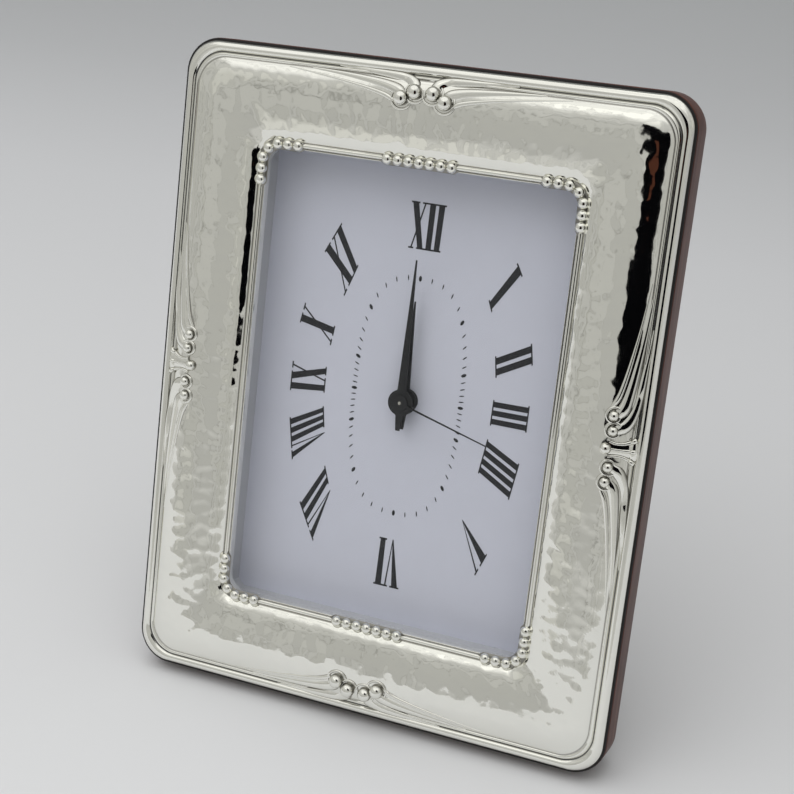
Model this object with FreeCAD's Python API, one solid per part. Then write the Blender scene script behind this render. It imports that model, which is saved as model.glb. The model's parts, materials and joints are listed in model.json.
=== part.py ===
import FreeCAD, Part

import math
import os

from FreeCAD import Vector

# Photo frame clock for a table: an embossed silver front over a moulded core and a dark wood frame,
# with glass, dial, quartz movement, three hands and a wooden easel leg behind.
# Lengths are millimetres and angles degrees.
# Each piece is drawn upright about the centre of the frame, with X to the right, Z up and Y from the
# viewer into the object. Y is zero where the silver meets the wood. At the end the whole clock is
# leaned back on its open leg and set on the plane Z = 0.

# Stance
lean_angle = 16.4
leg_open_angle = 31.0

# Silver front
silver_width = 147.0
silver_height = 187.0
silver_corner = 9.2
opening_corner = 5.0
corner_steps = 4
band_width = 27.5
sheet = 0.6
border_width = 3.0
border_rise = 2.2
line_width = 1.4
crown_rise = 3.8
rim_width = 3.0
rim_rise = 1.2
lip_depth = 1.8
border_shares = ((0.0, 0.4), (0.3, 0.88), (0.62, 1.0), (1.0, 0.77))
line_shares = ((0.5, 1.0), (1.0, 0.86))
band_strips = 6
rim_shares = ((0.0, 0.33), (0.28, 0.85), (0.52, 1.0), (0.8, 0.6), (1.0, -0.15))
back_corner_share = 0.5

# Beads on the rim
bead_radius = 1.45
bead_pitch = 3.12
bead_from_opening = 1.3
bead_rise = 0.1
beads_in_run = 7
beads_round_corner = 7
bead_arc_radius = 5.4

# Scroll groups: places run along the edge from the middle of a side, then in from the silver's edge
scroll_sink_share = 0.1
end_scroll_inner = ((2.7, 7.4), (3.4, 4.9), (5.8, 3.0), (9.6, 2.2), (15.5, 1.8), (25.0, 1.5))
end_scroll_outer = ((6.4, 9.4), (7.6, 7.1), (10.4, 5.3), (15.0, 4.4), (22.0, 3.7), (33.0, 3.1))
side_scroll_inner = ((5.2, 9.2), (6.8, 6.4), (10.2, 4.2), (16.0, 2.8), (24.0, 2.0), (33.0, 1.5))
side_scroll_outer = ((10.0, 9.4), (12.6, 7.3), (16.8, 5.7), (23.0, 4.6), (31.0, 3.8), (41.0, 3.1))
scroll_ridge_radius = 1.5
scroll_ridge_shares = (0.8, 1.0, 0.95, 0.8, 0.55, 0.25)
scroll_ball_radius = 2.1
scroll_ball_lift = 0.5
ornament_sides = 8
dome_shares = (-0.45, 0.5)
fan_width = 2.6
fan_insets = (3.4, 6.0, 8.6, 10.8, 12.4)
fan_shares = (0.7, 0.55, 0.5, 0.75, 0.35)

# Wood frame
wood_overhang = 0.7
wood_depth = 14.0
wood_corner = 10.0
wood_back_radius = 4.5
wood_back_steps = 4
wood_front_radius = 0.7
window_lap = 3.9
window_corner = 3.0

# What lies in the window, from the front
window_play = 0.2
glass_thickness = 2.0
spacer_depth = 6.6
spacer_wall = 1.9
spacer_corner = 2.0
card_thickness = 0.4
panel_thickness = 3.2

# Turn buttons behind the back panel
button_length = 16.0
button_width = 7.0
button_thickness = 1.0
button_spacing_share = 0.44
button_from_window = 4.5
button_rib = 0.8
button_end_share = 0.5
button_play = 0.1
button_screw_head = 2.6
button_screw_head_height = 1.1
button_screw_shank = 1.2
button_screw_length = 7.0
screw_top_share = 0.6
running_fit = 0.06
pilot_fit = 0.03

# Easel leg and its hinge
leg_from_case = 3.5
leg_top_width = 16.0
leg_foot_width = 12.0
leg_thickness = 5.0
pin_height = 33.0
stop_play = 0.05
leaf_width = 13.0
leaf_length = 20.0
leaf_thickness = 0.8
knuckle_radius = 1.5
knuckle_play = 0.1
middle_knuckle = 4.6
pin_radius = 0.65
leaf_screw_spacing = 7.0
leaf_screw_head = 1.5
leaf_screw_shank = 0.8
panel_screw_length = 2.4
leg_screw_length = 3.4

# Movement case
hand_drop = 1.0
case_end_room = 3.3
case_depth = 16.0
case_wall = 1.2
case_corner = 3.0
case_split = 8.0
bush_radius = 3.3
bush_proud = 0.8
bush_fit = 0.1
bay_height = 15.2
bay_wall = 1.0
ear_length = 6.0
ear_width = 9.0
ear_thickness = 2.0
ear_screw_head = 2.4
ear_screw_head_height = 1.2
ear_screw_shank = 1.1
ear_screw_length = 2.4

# Battery and its contacts
battery_radius = 7.1
battery_length = 49.4
battery_tip_radius = 2.7
battery_tip_length = 1.0
battery_sides = 24
contact_thickness = 0.5
contact_width = 9.0
contact_play = 0.1

# Motion work: heights are measured back from the front of the case
motion_centre = 7.5
cannon_teeth = 10
minute_wheel_teeth = 30
minute_pinion_teeth = 8
hour_wheel_teeth = 32
setting_teeth = 10
hour_wheel_level = 1.6
hour_wheel_thickness = 0.6
pinion_overlap = 0.2
minute_wheel_level = 2.8
minute_wheel_thickness = 0.6
cannon_level = 2.5
cannon_height = 1.3
tube_clearance = 0.08
hour_tube_radius = 2.4
minute_tube_radius = 1.65
second_arbor_radius = 0.5
arbor_radius = 0.5
pivot_radius = 0.35
pivot_depth = 0.7
peg_sides = 8
round_sides = 16
head_sides = 12

# Going train
clutch_teeth = 45
third_teeth = 48
second_teeth = 30
fifth_teeth = 36
small_pinion_teeth = 6
train_centre = 7.2
second_centre = 7.1
rotor_centre = 5.6
wheel_thickness = 0.5
clutch_level = 4.4
third_level = 5.8
second_level = 7.4
fifth_level = 8.8
magnet_radius = 2.9
magnet_level = 4.0
magnet_height = 2.6
bridge_level = 10.2
bridge_thickness = 0.8
pillar_radius = 1.5
pillar_places = ((-16.4, -7.6), (-9.6, 11.2), (3.6, -8.7), (4.4, 19.6))

# Motor and circuit
stator_width = 9.2
stator_thickness = 1.0
stator_level = 4.4
stator_hole_play = 0.5
stator_low = 8.4
stator_high = 20.0
core_reach = 9.6
core_bar = 3.0
coil_radius = 3.4
coil_margin = 1.2
board_size = (15.0, 11.0)
board_corner = (-25.6, 14.2)
board_thickness = 0.8
board_level = 10.2
crystal_radius = 1.0
crystal_length = 6.0
crystal_gap = 0.05

# Setting knob
knob_radius = 5.5
knob_thickness = 3.0
knob_flutes = 18
knob_flute_depth = 0.6
knob_gap = 0.4
setting_shaft_radius = 1.0

# Hands: heights are measured forward from the face of the dial
hand_thickness = 0.4
boss_radius = 3.8
boss_sides = 24
hour_hand_length = 29.0
minute_hand_length = 41.0
hand_tail = 8.2
hour_hand_width = 3.0
minute_hand_width = 2.8
hand_tip_share = 0.12
hand_tail_share = 0.45
hour_hand_height = 2.0
minute_hand_height = 4.7
collar_height = 1.5
collar_wall = 0.7
second_hand_length = 28.0
second_hand_width = 0.5
second_hub_radius = 2.4
second_hand_height = 5.3
second_hand_angle = 105.3

# Teeth of all gears, as shares of the module and of the pitch
addendum_share = 0.75
dedendum_share = 1.25
tooth_tip_share = 0.06
most_flat_teeth = 20


# Derived places
window_inset = band_width - window_lap
bead_inset = band_width - bead_from_opening
case_side = battery_length + 2 * case_end_room
leg_from_axis = (case_side + leg_top_width) / 2 + leg_from_case
window_width = silver_width - 2 * window_inset
window_height = silver_height - 2 * window_inset
insert_width = window_width - 2 * window_play
insert_height = window_height - 2 * window_play
insert_corner = window_corner - window_play
wood_width = silver_width + 2 * wood_overhang
wood_height = silver_height + 2 * wood_overhang
glass_front = lip_depth
glass_back = glass_front + glass_thickness
dial_face = glass_back + spacer_depth
card_back = dial_face + card_thickness
panel_back = card_back + panel_thickness
case_front = panel_back
case_back = case_front + case_depth
case_half = case_side / 2
bay_floor = -case_half + case_wall
bay_roof = bay_floor + bay_height
battery_height = bay_floor + bay_height / 2
battery_depth = case_back - case_wall / 4 - battery_radius
pin_depth = panel_back + knuckle_radius + knuckle_play
axle_z = -hand_drop

frame_parts = {}
leg_parts = {}


# Basic solids

def box(x_low, x_high, y_low, y_high, z_low, z_high):
    size = (x_high - x_low, y_high - y_low, z_high - z_low)
    return Part.makeBox(*size, Vector(x_low, y_low, z_low))


def many_sided(x, z, radius, sides):
    """Points of a regular outline round a place."""
    turns = [2 * math.pi * (index + 0.5) / sides for index in range(sides)]
    return [(x + radius * math.cos(turn), z + radius * math.sin(turn)) for turn in turns]


def around(radius, sides):
    """Radius of a regular outline whose flats clear a round bar."""
    return radius / math.cos(math.pi / sides)


def plate(points, y_low, y_high):
    """Flat plate from the points (x, z) of its outline."""
    corners = [Vector(x, y_low, z) for x, z in points]
    face = Part.Face(Part.makePolygon(corners + corners[:1]))
    return face.extrude(Vector(0, y_high - y_low, 0))


def peg(x, z, radius, y_low, y_high, sides=peg_sides):
    """Bar along Y with few sides, for pivots and screws."""
    return plate(many_sided(x, z, radius, sides), y_low, y_high)


def rod(x, z, radius, y_low, y_high):
    """Round bar along Y."""
    return peg(x, z, radius, y_low, y_high, round_sides)


def peg_hole(x, z, radius, y_low, y_high, sides=peg_sides):
    """Hole along Y that a bar turns in."""
    return peg(x, z, around(radius, sides), y_low, y_high, sides)


def rod_hole(x, z, radius, y_low, y_high):
    return peg_hole(x, z, radius, y_low, y_high, round_sides)


def cross_bar(x_low, x_high, y, z, radius, sides=round_sides):
    """Round bar along X."""
    corners = [Vector(x_low, *place) for place in many_sided(y, z, radius, sides)]
    face = Part.Face(Part.makePolygon(corners + corners[:1]))
    return face.extrude(Vector(x_high - x_low, 0, 0))


def rounded_points(width, height, radius, x=0, z=0):
    """Points (x, z) of a rounded rectangle, with the same number of steps round every corner."""
    points = []
    for corner, (side_x, side_z) in enumerate(((1, 1), (-1, 1), (-1, -1), (1, -1))):
        centre_x = x + side_x * (width / 2 - radius)
        centre_z = z + side_z * (height / 2 - radius)
        for index in range(corner_steps + 1):
            turn = math.pi / 2 * (corner + index / corner_steps)
            points.append((centre_x + radius * math.cos(turn), centre_z + radius * math.sin(turn)))
    return points


def rounded_plate(width, height, radius, y_low, y_high, x=0, z=0):
    return plate(rounded_points(width, height, radius, x, z), y_low, y_high)


def sewn_solid(faces):
    shell = Part.makeShell(faces)
    shell.sewShape()
    solid = Part.makeSolid(Part.makeShell(shell.Faces))
    if solid.Volume < 0:
        solid.reverse()
    return solid


def bands(sections):
    """Flat faces between outlines that follow one another and have equal numbers of points."""
    faces = []
    for first, second in zip(sections, sections[1:]):
        for index in range(len(first)):
            after = (index + 1) % len(first)
            corners = [first[index], first[after], second[after], second[index]]
            faces.append(Part.Face(Part.makePolygon(corners + corners[:1])))
    return faces


def twisted_bands(sections):
    """Faces as bands makes them, in threes of corners because the sections turn."""
    faces = []
    for first, second in zip(sections, sections[1:]):
        for index in range(len(first)):
            after = (index + 1) % len(first)
            for corners in ((first[index], first[after], second[after]),
                            (first[index], second[after], second[index])):
                faces.append(Part.Face(Part.makePolygon(corners + corners[:1])))
    return faces


def capped(faces, sections):
    caps = [Part.Face(Part.makePolygon(section + section[:1])) for section in (sections[0], sections[-1])]
    return sewn_solid(faces + caps)


def fuse_all(shapes):
    return shapes[0].multiFuse(shapes[1:]).removeSplitter()


# Silver front

def corner_at(inset):
    return silver_corner + (opening_corner - silver_corner) * inset / band_width


def silver_outline(inset, rise):
    """Silver's outline at a distance in from its edge and a height towards the viewer."""
    points = rounded_points(silver_width - 2 * inset, silver_height - 2 * inset, corner_at(inset))
    return [Vector(x, -rise, z) for x, z in points]


def scaled(shares, start, width, rise):
    return [(start + share * width, height_share * rise) for share, height_share in shares]


def band_curve(start, end):
    """Points of the bombe band, a parabola whose middle stands at the crown."""
    bulge = crown_rise - (start[1] + end[1]) / 2
    points = []
    for index in range(1, band_strips):
        share = index / band_strips
        rise = start[1] + share * (end[1] - start[1]) + 4 * bulge * share * (1 - share)
        points.append((start[0] + share * (end[0] - start[0]), rise))
    return points


def face_points():
    """Points across the silver's face from its edge to its opening."""
    border = scaled(border_shares, 0, border_width, border_rise)
    line = scaled(line_shares, border_width, line_width, border_rise)
    rim = scaled(rim_shares, band_width - rim_width, rim_width, rim_rise)
    return border + line + band_curve(line[-1], rim[0]) + rim


def hidden_points():
    """Points across the sheet's hidden side, from its edge to the end of its lip."""
    border = scaled(border_shares, 0, border_width, border_rise)
    line = scaled(line_shares, border_width, line_width, border_rise)
    rim = scaled(rim_shares, band_width - rim_width, rim_width, rim_rise)
    band = band_curve(line[-1], rim[0])
    followed = [border[-2], line[-1], band[band_strips // 3], band[2 * band_strips // 3], rim[0]]
    under = [(inset, rise - sheet) for inset, rise in followed]
    inner = band_width - sheet
    start = [(sheet, 0), (sheet, back_corner_share * border_rise)]
    return start + under + [(inner, rim[-1][1] - sheet), (inner, -lip_depth)]


def ring_solid(points, outline):
    """Closed ring round the frame from the points of its section."""
    sections = [outline(*point) for point in points]
    return sewn_solid(bands(sections + sections[:1]))


def round_section(centre, tangent, radius):
    """Points of a many-sided ring across a path, with one flat towards the viewer."""
    forward = Vector(tangent).normalize()
    out = Vector(0, -1, 0)
    out = (out - forward * out.dot(forward)).normalize()
    across = forward.cross(out)
    return [centre + out * x + across * z for x, z in many_sided(0, 0, radius, ornament_sides)]


def dome(centre, radius):
    """Ball whose front half stands out of the silver, with flat facets up to its tip."""
    sections = []
    for share in dome_shares:
        spread = radius * math.sqrt(1 - share * share)
        ring = many_sided(centre.x, centre.z, spread, ornament_sides)
        sections.append([Vector(x, centre.y - share * radius, z) for x, z in ring])
    faces = bands(sections)
    tip = centre - Vector(0, radius, 0)
    top = sections[-1]
    for first, second in zip(top, top[1:] + top[:1]):
        faces.append(Part.Face(Part.makePolygon([first, second, tip, first])))
    faces.append(Part.Face(Part.makePolygon(sections[0] + sections[0][:1])))
    return sewn_solid(faces)


def face_rise(inset):
    """Height of the silver's face at a distance in from its edge."""
    points = face_points()
    for (low, low_rise), (high, high_rise) in zip(points, points[1:]):
        if low <= inset < high:
            return low_rise + (high_rise - low_rise) * (inset - low) / (high - low)
    return points[-1][1]


def side_point(side, along, inset, rise):
    """Point of the silver's face beside one of its four sides."""
    if side in ("top", "bottom"):
        reach = silver_height / 2 - inset
        return Vector(along, -rise, reach if side == "top" else -reach)
    reach = silver_width / 2 - inset
    return Vector(reach if side == "right" else -reach, -rise, along)


def bead_centres():
    """Middle runs on the short sides and a run round each corner."""
    places = []
    half_x = silver_width / 2 - bead_inset
    half_z = silver_height / 2 - bead_inset
    for index in range(beads_in_run):
        shift = (index - (beads_in_run - 1) / 2) * bead_pitch
        places += [(shift, half_z), (shift, -half_z)]
    arc_length = bead_arc_radius * math.pi / 2
    for side_x in (1, -1):
        for side_z in (1, -1):
            for index in range(beads_round_corner):
                run = (index - (beads_round_corner - 1) / 2) * bead_pitch
                places.append(corner_place(run, arc_length, half_x, half_z, side_x, side_z))
    return [Vector(x, -bead_rise, z) for x, z in places]


def corner_place(run, arc_length, half_x, half_z, side_x, side_z):
    """Place at a distance along the rim from the middle of a corner."""
    centre_x = half_x - bead_arc_radius
    centre_z = half_z - bead_arc_radius
    beyond = abs(run) - arc_length / 2
    turn = math.pi / 4 + max(-1, min(1, run / (arc_length / 2))) * math.pi / 4
    x = centre_x + bead_arc_radius * math.cos(turn)
    z = centre_z + bead_arc_radius * math.sin(turn)
    if beyond > 0 and run > 0:
        x -= beyond
    if beyond > 0 and run < 0:
        z -= beyond
    return side_x * x, side_z * z


def scroll_ridge(side, path, mirror):
    """Tapering ridge that runs from a ball out along the silver's edge."""
    radii = [share * scroll_ridge_radius for share in scroll_ridge_shares]
    centres = []
    for (along, inset), radius in zip(path, radii):
        rise = face_rise(inset) - scroll_sink_share * radius
        centres.append(side_point(side, mirror * along, inset, rise))
    spine = Part.BSplineCurve()
    spine.interpolate(centres)
    sections = []
    for centre, radius in zip(centres, radii):
        tangent = spine.tangent(spine.parameter(centre))[0]
        sections.append(round_section(centre, tangent, radius))
    return capped(twisted_bands(sections), sections)


def scroll_group(side, inner, outer):
    """Two ridges with balls to each side of the middle of one side of the frame."""
    solids = []
    for mirror in (1, -1):
        for path in (inner, outer):
            solids.append(scroll_ridge(side, path, mirror))
            along, inset = path[0]
            rise = face_rise(inset) + scroll_ball_lift
            solids.append(dome(side_point(side, mirror * along, inset, rise), scroll_ball_radius))
    return solids


def side_fan(side):
    """Waisted leaf between the scrolls of a long side."""
    sections = []
    for inset, share in zip(fan_insets, fan_shares):
        radius = share * fan_width
        centre = side_point(side, 0, inset, face_rise(inset) - scroll_sink_share * radius)
        sections.append(round_section(centre, Vector(1, 0, 0), radius))
    return capped(bands(sections), sections)


def build_front():
    spigot_inset = window_inset + window_play
    seat = [(spigot_inset, -lip_depth), (spigot_inset, 0)]
    core = ring_solid(hidden_points() + seat, silver_outline)
    block = ring_solid([(0, 0)] + face_points() + [(band_width, -lip_depth)] + seat, silver_outline)
    ornaments = [dome(centre, bead_radius) for centre in bead_centres()]
    for side in ("top", "bottom"):
        ornaments += scroll_group(side, end_scroll_inner, end_scroll_outer)
    for side in ("left", "right"):
        ornaments += scroll_group(side, side_scroll_inner, side_scroll_outer)
        ornaments.append(side_fan(side))
    frame_parts["silver_front"] = block.multiFuse(ornaments).cut(core)
    frame_parts["moulded_core"] = core


# Wood frame and what its window holds

def wood_outline(inset, rise):
    corner = wood_corner - inset if inset < wood_corner - window_corner else window_corner
    points = rounded_points(wood_width - 2 * inset, wood_height - 2 * inset, corner)
    return [Vector(x, -rise, z) for x, z in points]


def wood_points():
    """Points round the section of the wood, with its front edge eased and its back edge rounded."""
    points = [(wood_front_radius, 0), (0, -wood_front_radius)]
    centre = wood_depth - wood_back_radius
    for index in range(wood_back_steps + 1):
        turn = index / wood_back_steps * math.pi / 2
        inset = wood_back_radius * (1 - math.cos(turn))
        points.append((inset, -(centre + wood_back_radius * math.sin(turn))))
    points[-1] = (points[-1][0], -wood_depth)
    inner = window_inset + wood_overhang
    return points + [(inner, -wood_depth), (inner, 0)]


def build_wood():
    ring = ring_solid(wood_points(), wood_outline)
    holes = [peg(x, z, button_screw_shank + pilot_fit, wood_depth - button_screw_length, wood_depth)
             for x, z in button_places().values()]
    frame_parts["wood_frame"] = ring.cut(holes + panel_pilot_holes())


def panel_pilot_holes():
    """Holes for the hinge's screws, cut in the panel and in the wood, whichever lies behind the leaf."""
    return [peg(-leg_from_axis, pin_height + z, leaf_screw_shank + pilot_fit,
                panel_back - panel_screw_length - pilot_fit, panel_back)
            for z in leaf_screw_heights()]


def clipped_plate(width, height, corner, y_low, y_high, z=0):
    """Plate with its corners cut off."""
    half_x = width / 2
    half_z = height / 2
    points = ((half_x, corner - half_z), (half_x, half_z - corner), (half_x - corner, half_z),
              (corner - half_x, half_z), (-half_x, half_z - corner), (-half_x, corner - half_z),
              (corner - half_x, -half_z), (half_x - corner, -half_z))
    return plate([(point_x, z + point_z) for point_x, point_z in points], y_low, y_high)


def build_window_stack():
    full = (insert_width, insert_height, insert_corner)
    frame_parts["glass_pane"] = clipped_plate(*full, glass_front, glass_back)
    sight = clipped_plate(insert_width - 2 * spacer_wall, insert_height - 2 * spacer_wall,
                         spacer_corner, glass_back, dial_face)
    frame_parts["spacer_frame"] = clipped_plate(*full, glass_back, dial_face).cut(sight)
    card = clipped_plate(*full, dial_face, card_back)
    frame_parts["dial_card"] = card.cut(rod_hole(0, axle_z, bush_radius + bush_fit, dial_face, card_back))
    panel = clipped_plate(*full, card_back, panel_back)
    holes = [rod_hole(0, axle_z, bush_radius + bush_fit, card_back, panel_back)]
    holes += panel_pilot_holes()
    for z in ear_centres():
        holes.append(peg(0, z, ear_screw_shank + pilot_fit, panel_back - ear_screw_length, panel_back))
    frame_parts["back_panel"] = panel.cut(holes)


# Turn buttons

def button_places():
    x = button_spacing_share * window_width / 2
    z = window_height / 2 + button_from_window
    return {"top_left": (-x, z), "top_right": (x, z), "bottom_left": (-x, -z), "bottom_right": (x, -z)}


def build_buttons():
    half = button_width / 2
    end = half * button_end_share
    reach = button_length - button_width
    y_low = wood_depth + button_play
    y_high = y_low + button_thickness
    screws = []
    for name, (x, z) in button_places().items():
        inward = -1 if z > 0 else 1
        back = z - inward * half
        tip = z + inward * (reach + half)
        blank = plate(((x - end, back), (x + end, back), (x + half, z), (x + half, z + inward * reach),
                       (x + end, tip), (x - end, tip), (x - half, z + inward * reach), (x - half, z)),
                      y_low, y_high)
        rib_z = z + inward * reach
        rib = [Vector(x - end, y_high, rib_z - button_rib), Vector(x - end, y_high, rib_z + button_rib),
               Vector(x - end, y_high + button_rib, rib_z)]
        grip = Part.Face(Part.makePolygon(rib + rib[:1])).extrude(Vector(2 * end, 0, 0))
        hole = peg_hole(x, z, button_screw_shank + running_fit, y_low, y_high)
        frame_parts["turn_button_" + name] = blank.fuse(grip).cut(hole)
        head_low = y_high + button_play
        screw = [peg(x, z, button_screw_shank, wood_depth - button_screw_length, head_low),
                 screw_head(x, z, button_screw_head, head_low, button_screw_head_height)]
        screws.append(fuse_all(screw))
    frame_parts["button_screws"] = Part.makeCompound(screws)


def screw_head(x, z, radius, y_low, height):
    """Low screw head that faces back, with its edge drawn in."""
    sections = []
    for level, share in ((0, 1), (screw_top_share, 1), (1, screw_top_share)):
        ring = many_sided(x, z, radius * share, head_sides)
        sections.append([Vector(ring_x, y_low + level * height, ring_z) for ring_x, ring_z in ring])
    return capped(bands(sections), sections)


# Easel leg

def leaf_screw_heights():
    """Heights of the hinge screws below the pin."""
    middle = -(leaf_length + knuckle_radius) / 2
    return (middle - leaf_screw_spacing / 2, middle + leaf_screw_spacing / 2)


def floor_height():
    """Height of the table under the centre of the frame, once it leans."""
    lean = math.radians(lean_angle)
    centre_y = wood_depth - wood_back_radius
    centre_z = wood_back_radius - wood_height / 2
    return centre_z * math.cos(lean) - centre_y * math.sin(lean) - wood_back_radius


def foot_height(y):
    """Height of the foot's cut below the pin, for a folded leg that stands level when open."""
    lean = math.radians(lean_angle)
    tilt = math.radians(leg_open_angle - lean_angle)
    pin_level = pin_height * math.cos(lean) - pin_depth * math.sin(lean)
    return (floor_height() - pin_level - y * math.sin(tilt)) / math.cos(tilt)


def stop_height(y):
    """Height of the bevel above the pin that meets the back panel when the leg is open."""
    turn = math.radians(leg_open_angle)
    reach = knuckle_radius + knuckle_play - stop_play
    return (y * math.cos(turn) + reach) / math.sin(turn)


def leaf_plate(y_low, y_high, outer_knuckles):
    """Hinge leaf below the pin, notched beside the knuckles that belong to the other leaf."""
    half = leaf_width / 2
    inner = middle_knuckle / 2 + knuckle_play
    notch = knuckle_radius + knuckle_play
    leaf = box(-half, half, y_low, y_high, -leaf_length, 0)
    if outer_knuckles:
        return leaf.cut(box(-inner, inner, y_low, y_high, -notch, 0))
    middle = middle_knuckle / 2
    sides = [box(-half, -middle, y_low, y_high, -notch, 0), box(middle, half, y_low, y_high, -notch, 0)]
    return leaf.cut(sides)


def flat_screw(z, y_face, direction, length, play):
    """Countersunk screw whose flat head is flush with a leaf, or its hole when it has play."""
    head = leaf_screw_head + play
    shank = leaf_screw_shank + play
    sections = []
    for depth, radius in ((0, head), (leaf_thickness, shank), (leaf_thickness + length + play, shank)):
        level = y_face + direction * depth
        sections.append([Vector(x, level, ring_z) for x, ring_z in many_sided(0, z, radius, peg_sides)])
    return capped(bands(sections), sections)


def build_leg():
    """Leg and hinge about the pin, in the folded position."""
    inner = knuckle_radius + knuckle_play
    outer = inner + leg_thickness
    profile = ((inner, stop_height(inner)), (outer, stop_height(outer)),
               (outer, foot_height(outer)), (inner, foot_height(inner)))
    corners = [Vector(-leg_top_width / 2, y, z) for y, z in profile]
    side = Part.Face(Part.makePolygon(corners + corners[:1])).extrude(Vector(leg_top_width, 0, 0))
    top = stop_height(outer)
    foot = foot_height(outer)
    half_top = leg_top_width / 2
    half_foot = leg_foot_width / 2
    taper = plate(((-half_top, top), (half_top, top), (half_foot, foot), (-half_foot, foot)), inner, outer)
    leg = side.common(taper)
    fixed_low = -inner
    moving_low = inner - leaf_thickness
    fixed = [leaf_plate(fixed_low, fixed_low + leaf_thickness, True)]
    split = middle_knuckle / 2 + knuckle_play
    half = leaf_width / 2
    for low, high in ((-half, -split), (split, half)):
        fixed.append(cross_bar(low, high, 0, 0, knuckle_radius))
        fixed.append(box(low, high, fixed_low, 0, -knuckle_radius, 0))
    moving = [leaf_plate(moving_low, inner, False)]
    moving.append(cross_bar(-middle_knuckle / 2, middle_knuckle / 2, 0, 0, knuckle_radius))
    moving.append(box(-middle_knuckle / 2, middle_knuckle / 2, 0, inner, -knuckle_radius, 0))
    fixed_holes = [cross_bar(-half, half, 0, 0, pin_radius, peg_sides)]
    moving_bore = around(pin_radius + running_fit, peg_sides)
    moving_holes = [cross_bar(-half, half, 0, 0, moving_bore, peg_sides)]
    leg_holes = []
    fixed_screws = []
    moving_screws = []
    for z in leaf_screw_heights():
        fixed_face = fixed_low + leaf_thickness
        fixed_holes.append(flat_screw(z, fixed_face, -1, panel_screw_length, pilot_fit))
        fixed_screws.append(flat_screw(z, fixed_face, -1, panel_screw_length, 0))
        moving_hole = flat_screw(z, moving_low, 1, leg_screw_length, pilot_fit)
        moving_holes.append(moving_hole)
        leg_holes.append(moving_hole)
        moving_screws.append(flat_screw(z, moving_low, 1, leg_screw_length, 0))
    pin = cross_bar(-half, half, 0, 0, pin_radius, peg_sides)
    place = Vector(-leg_from_axis, pin_depth, pin_height)
    frame_parts["hinge_leaf_fixed"] = fuse_all(fixed).cut(fixed_holes).translated(place)
    frame_parts["hinge_pin"] = pin.translated(place)
    frame_parts["hinge_panel_screws"] = Part.makeCompound(fixed_screws).translated(place)
    leg_parts["easel_leg"] = leg.cut(leg_holes).translated(place)
    leg_parts["hinge_leaf_moving"] = fuse_all(moving).cut(moving_holes).translated(place)
    leg_parts["hinge_leg_screws"] = Part.makeCompound(moving_screws).translated(place)


# Movement case

def ear_centres():
    reach = case_half + ear_length / 2
    return (axle_z + reach, axle_z - reach)


def bearing_places():
    """Arbor places round the hands' axle that run in both the base and the bridge."""
    return {"minute": minute_place(), "third": third_place(), "fifth": fifth_place(),
            "rotor": rotor_place()}


def minute_place():
    return 0, axle_z + motion_centre


def setting_place():
    return 0, axle_z + 2 * motion_centre


def third_place():
    return -train_centre, axle_z


def fifth_place():
    return second_centre, axle_z


def rotor_place():
    return second_centre + rotor_centre, axle_z


def case_shell(y_low, y_high, floor_low, floor_high):
    """Open square shell with one floor and the wall above the battery bay."""
    block = rounded_plate(case_side, case_side, case_corner, y_low, y_high, 0, axle_z)
    inside_low = floor_high if floor_low == y_low else y_low
    inside_high = y_high if floor_low == y_low else floor_low
    inner_side = case_side - 2 * case_wall
    inner_corner = case_corner - case_wall
    hollow = clipped_plate(inner_side, inner_side, inner_corner, inside_low, inside_high, axle_z)
    roof = axle_z + bay_roof
    wall = box(-inner_side / 2, inner_side / 2, inside_low, inside_high, roof, roof + bay_wall)
    return block.cut(hollow).fuse(wall)


def build_case():
    floor_back = case_front + case_wall
    split = case_front + case_split
    bush_front = dial_face - bush_proud
    base = case_shell(case_front, split, case_front, floor_back)
    ears = [box(-ear_width / 2, ear_width / 2, case_front, case_front + ear_thickness,
                z - ear_length / 2, z + ear_length / 2) for z in ear_centres()]
    base = base.multiFuse(ears + [rod(0, axle_z, bush_radius, bush_front, case_front)])
    bearing = pivot_radius + running_fit
    pivots = [peg_hole(x, z, bearing, floor_back - pivot_depth, floor_back)
              for x, z in bearing_places().values()]
    pivots.append(rod_hole(0, axle_z, hour_tube_radius + tube_clearance, bush_front, floor_back))
    pivots.append(peg_hole(*setting_place(), bearing, floor_back - pivot_depth, floor_back))
    pivots += [peg(0, z, ear_screw_shank + pilot_fit, case_front, case_front + ear_thickness)
               for z in ear_centres()]
    frame_parts["movement_base"] = base.cut(pivots)
    cover = case_shell(split, case_back, case_back - case_wall, case_back)
    inner = case_half - case_wall
    bay = box(-inner, inner, case_back - case_wall, case_back, axle_z + bay_floor, axle_z + bay_roof)
    shaft_hole = setting_shaft_radius + running_fit
    knob_hole = peg_hole(*setting_place(), shaft_hole, case_back - case_wall, case_back)
    frame_parts["movement_cover"] = cover.cut([bay, knob_hole])
    screws = []
    for z in ear_centres():
        head_low = case_front + ear_thickness
        shank = peg(0, z, ear_screw_shank, case_front - ear_screw_length + pilot_fit, head_low)
        screws.append(shank.fuse(screw_head(0, z, ear_screw_head, head_low, ear_screw_head_height)))
    frame_parts["movement_screws"] = Part.makeCompound(screws)


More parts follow.
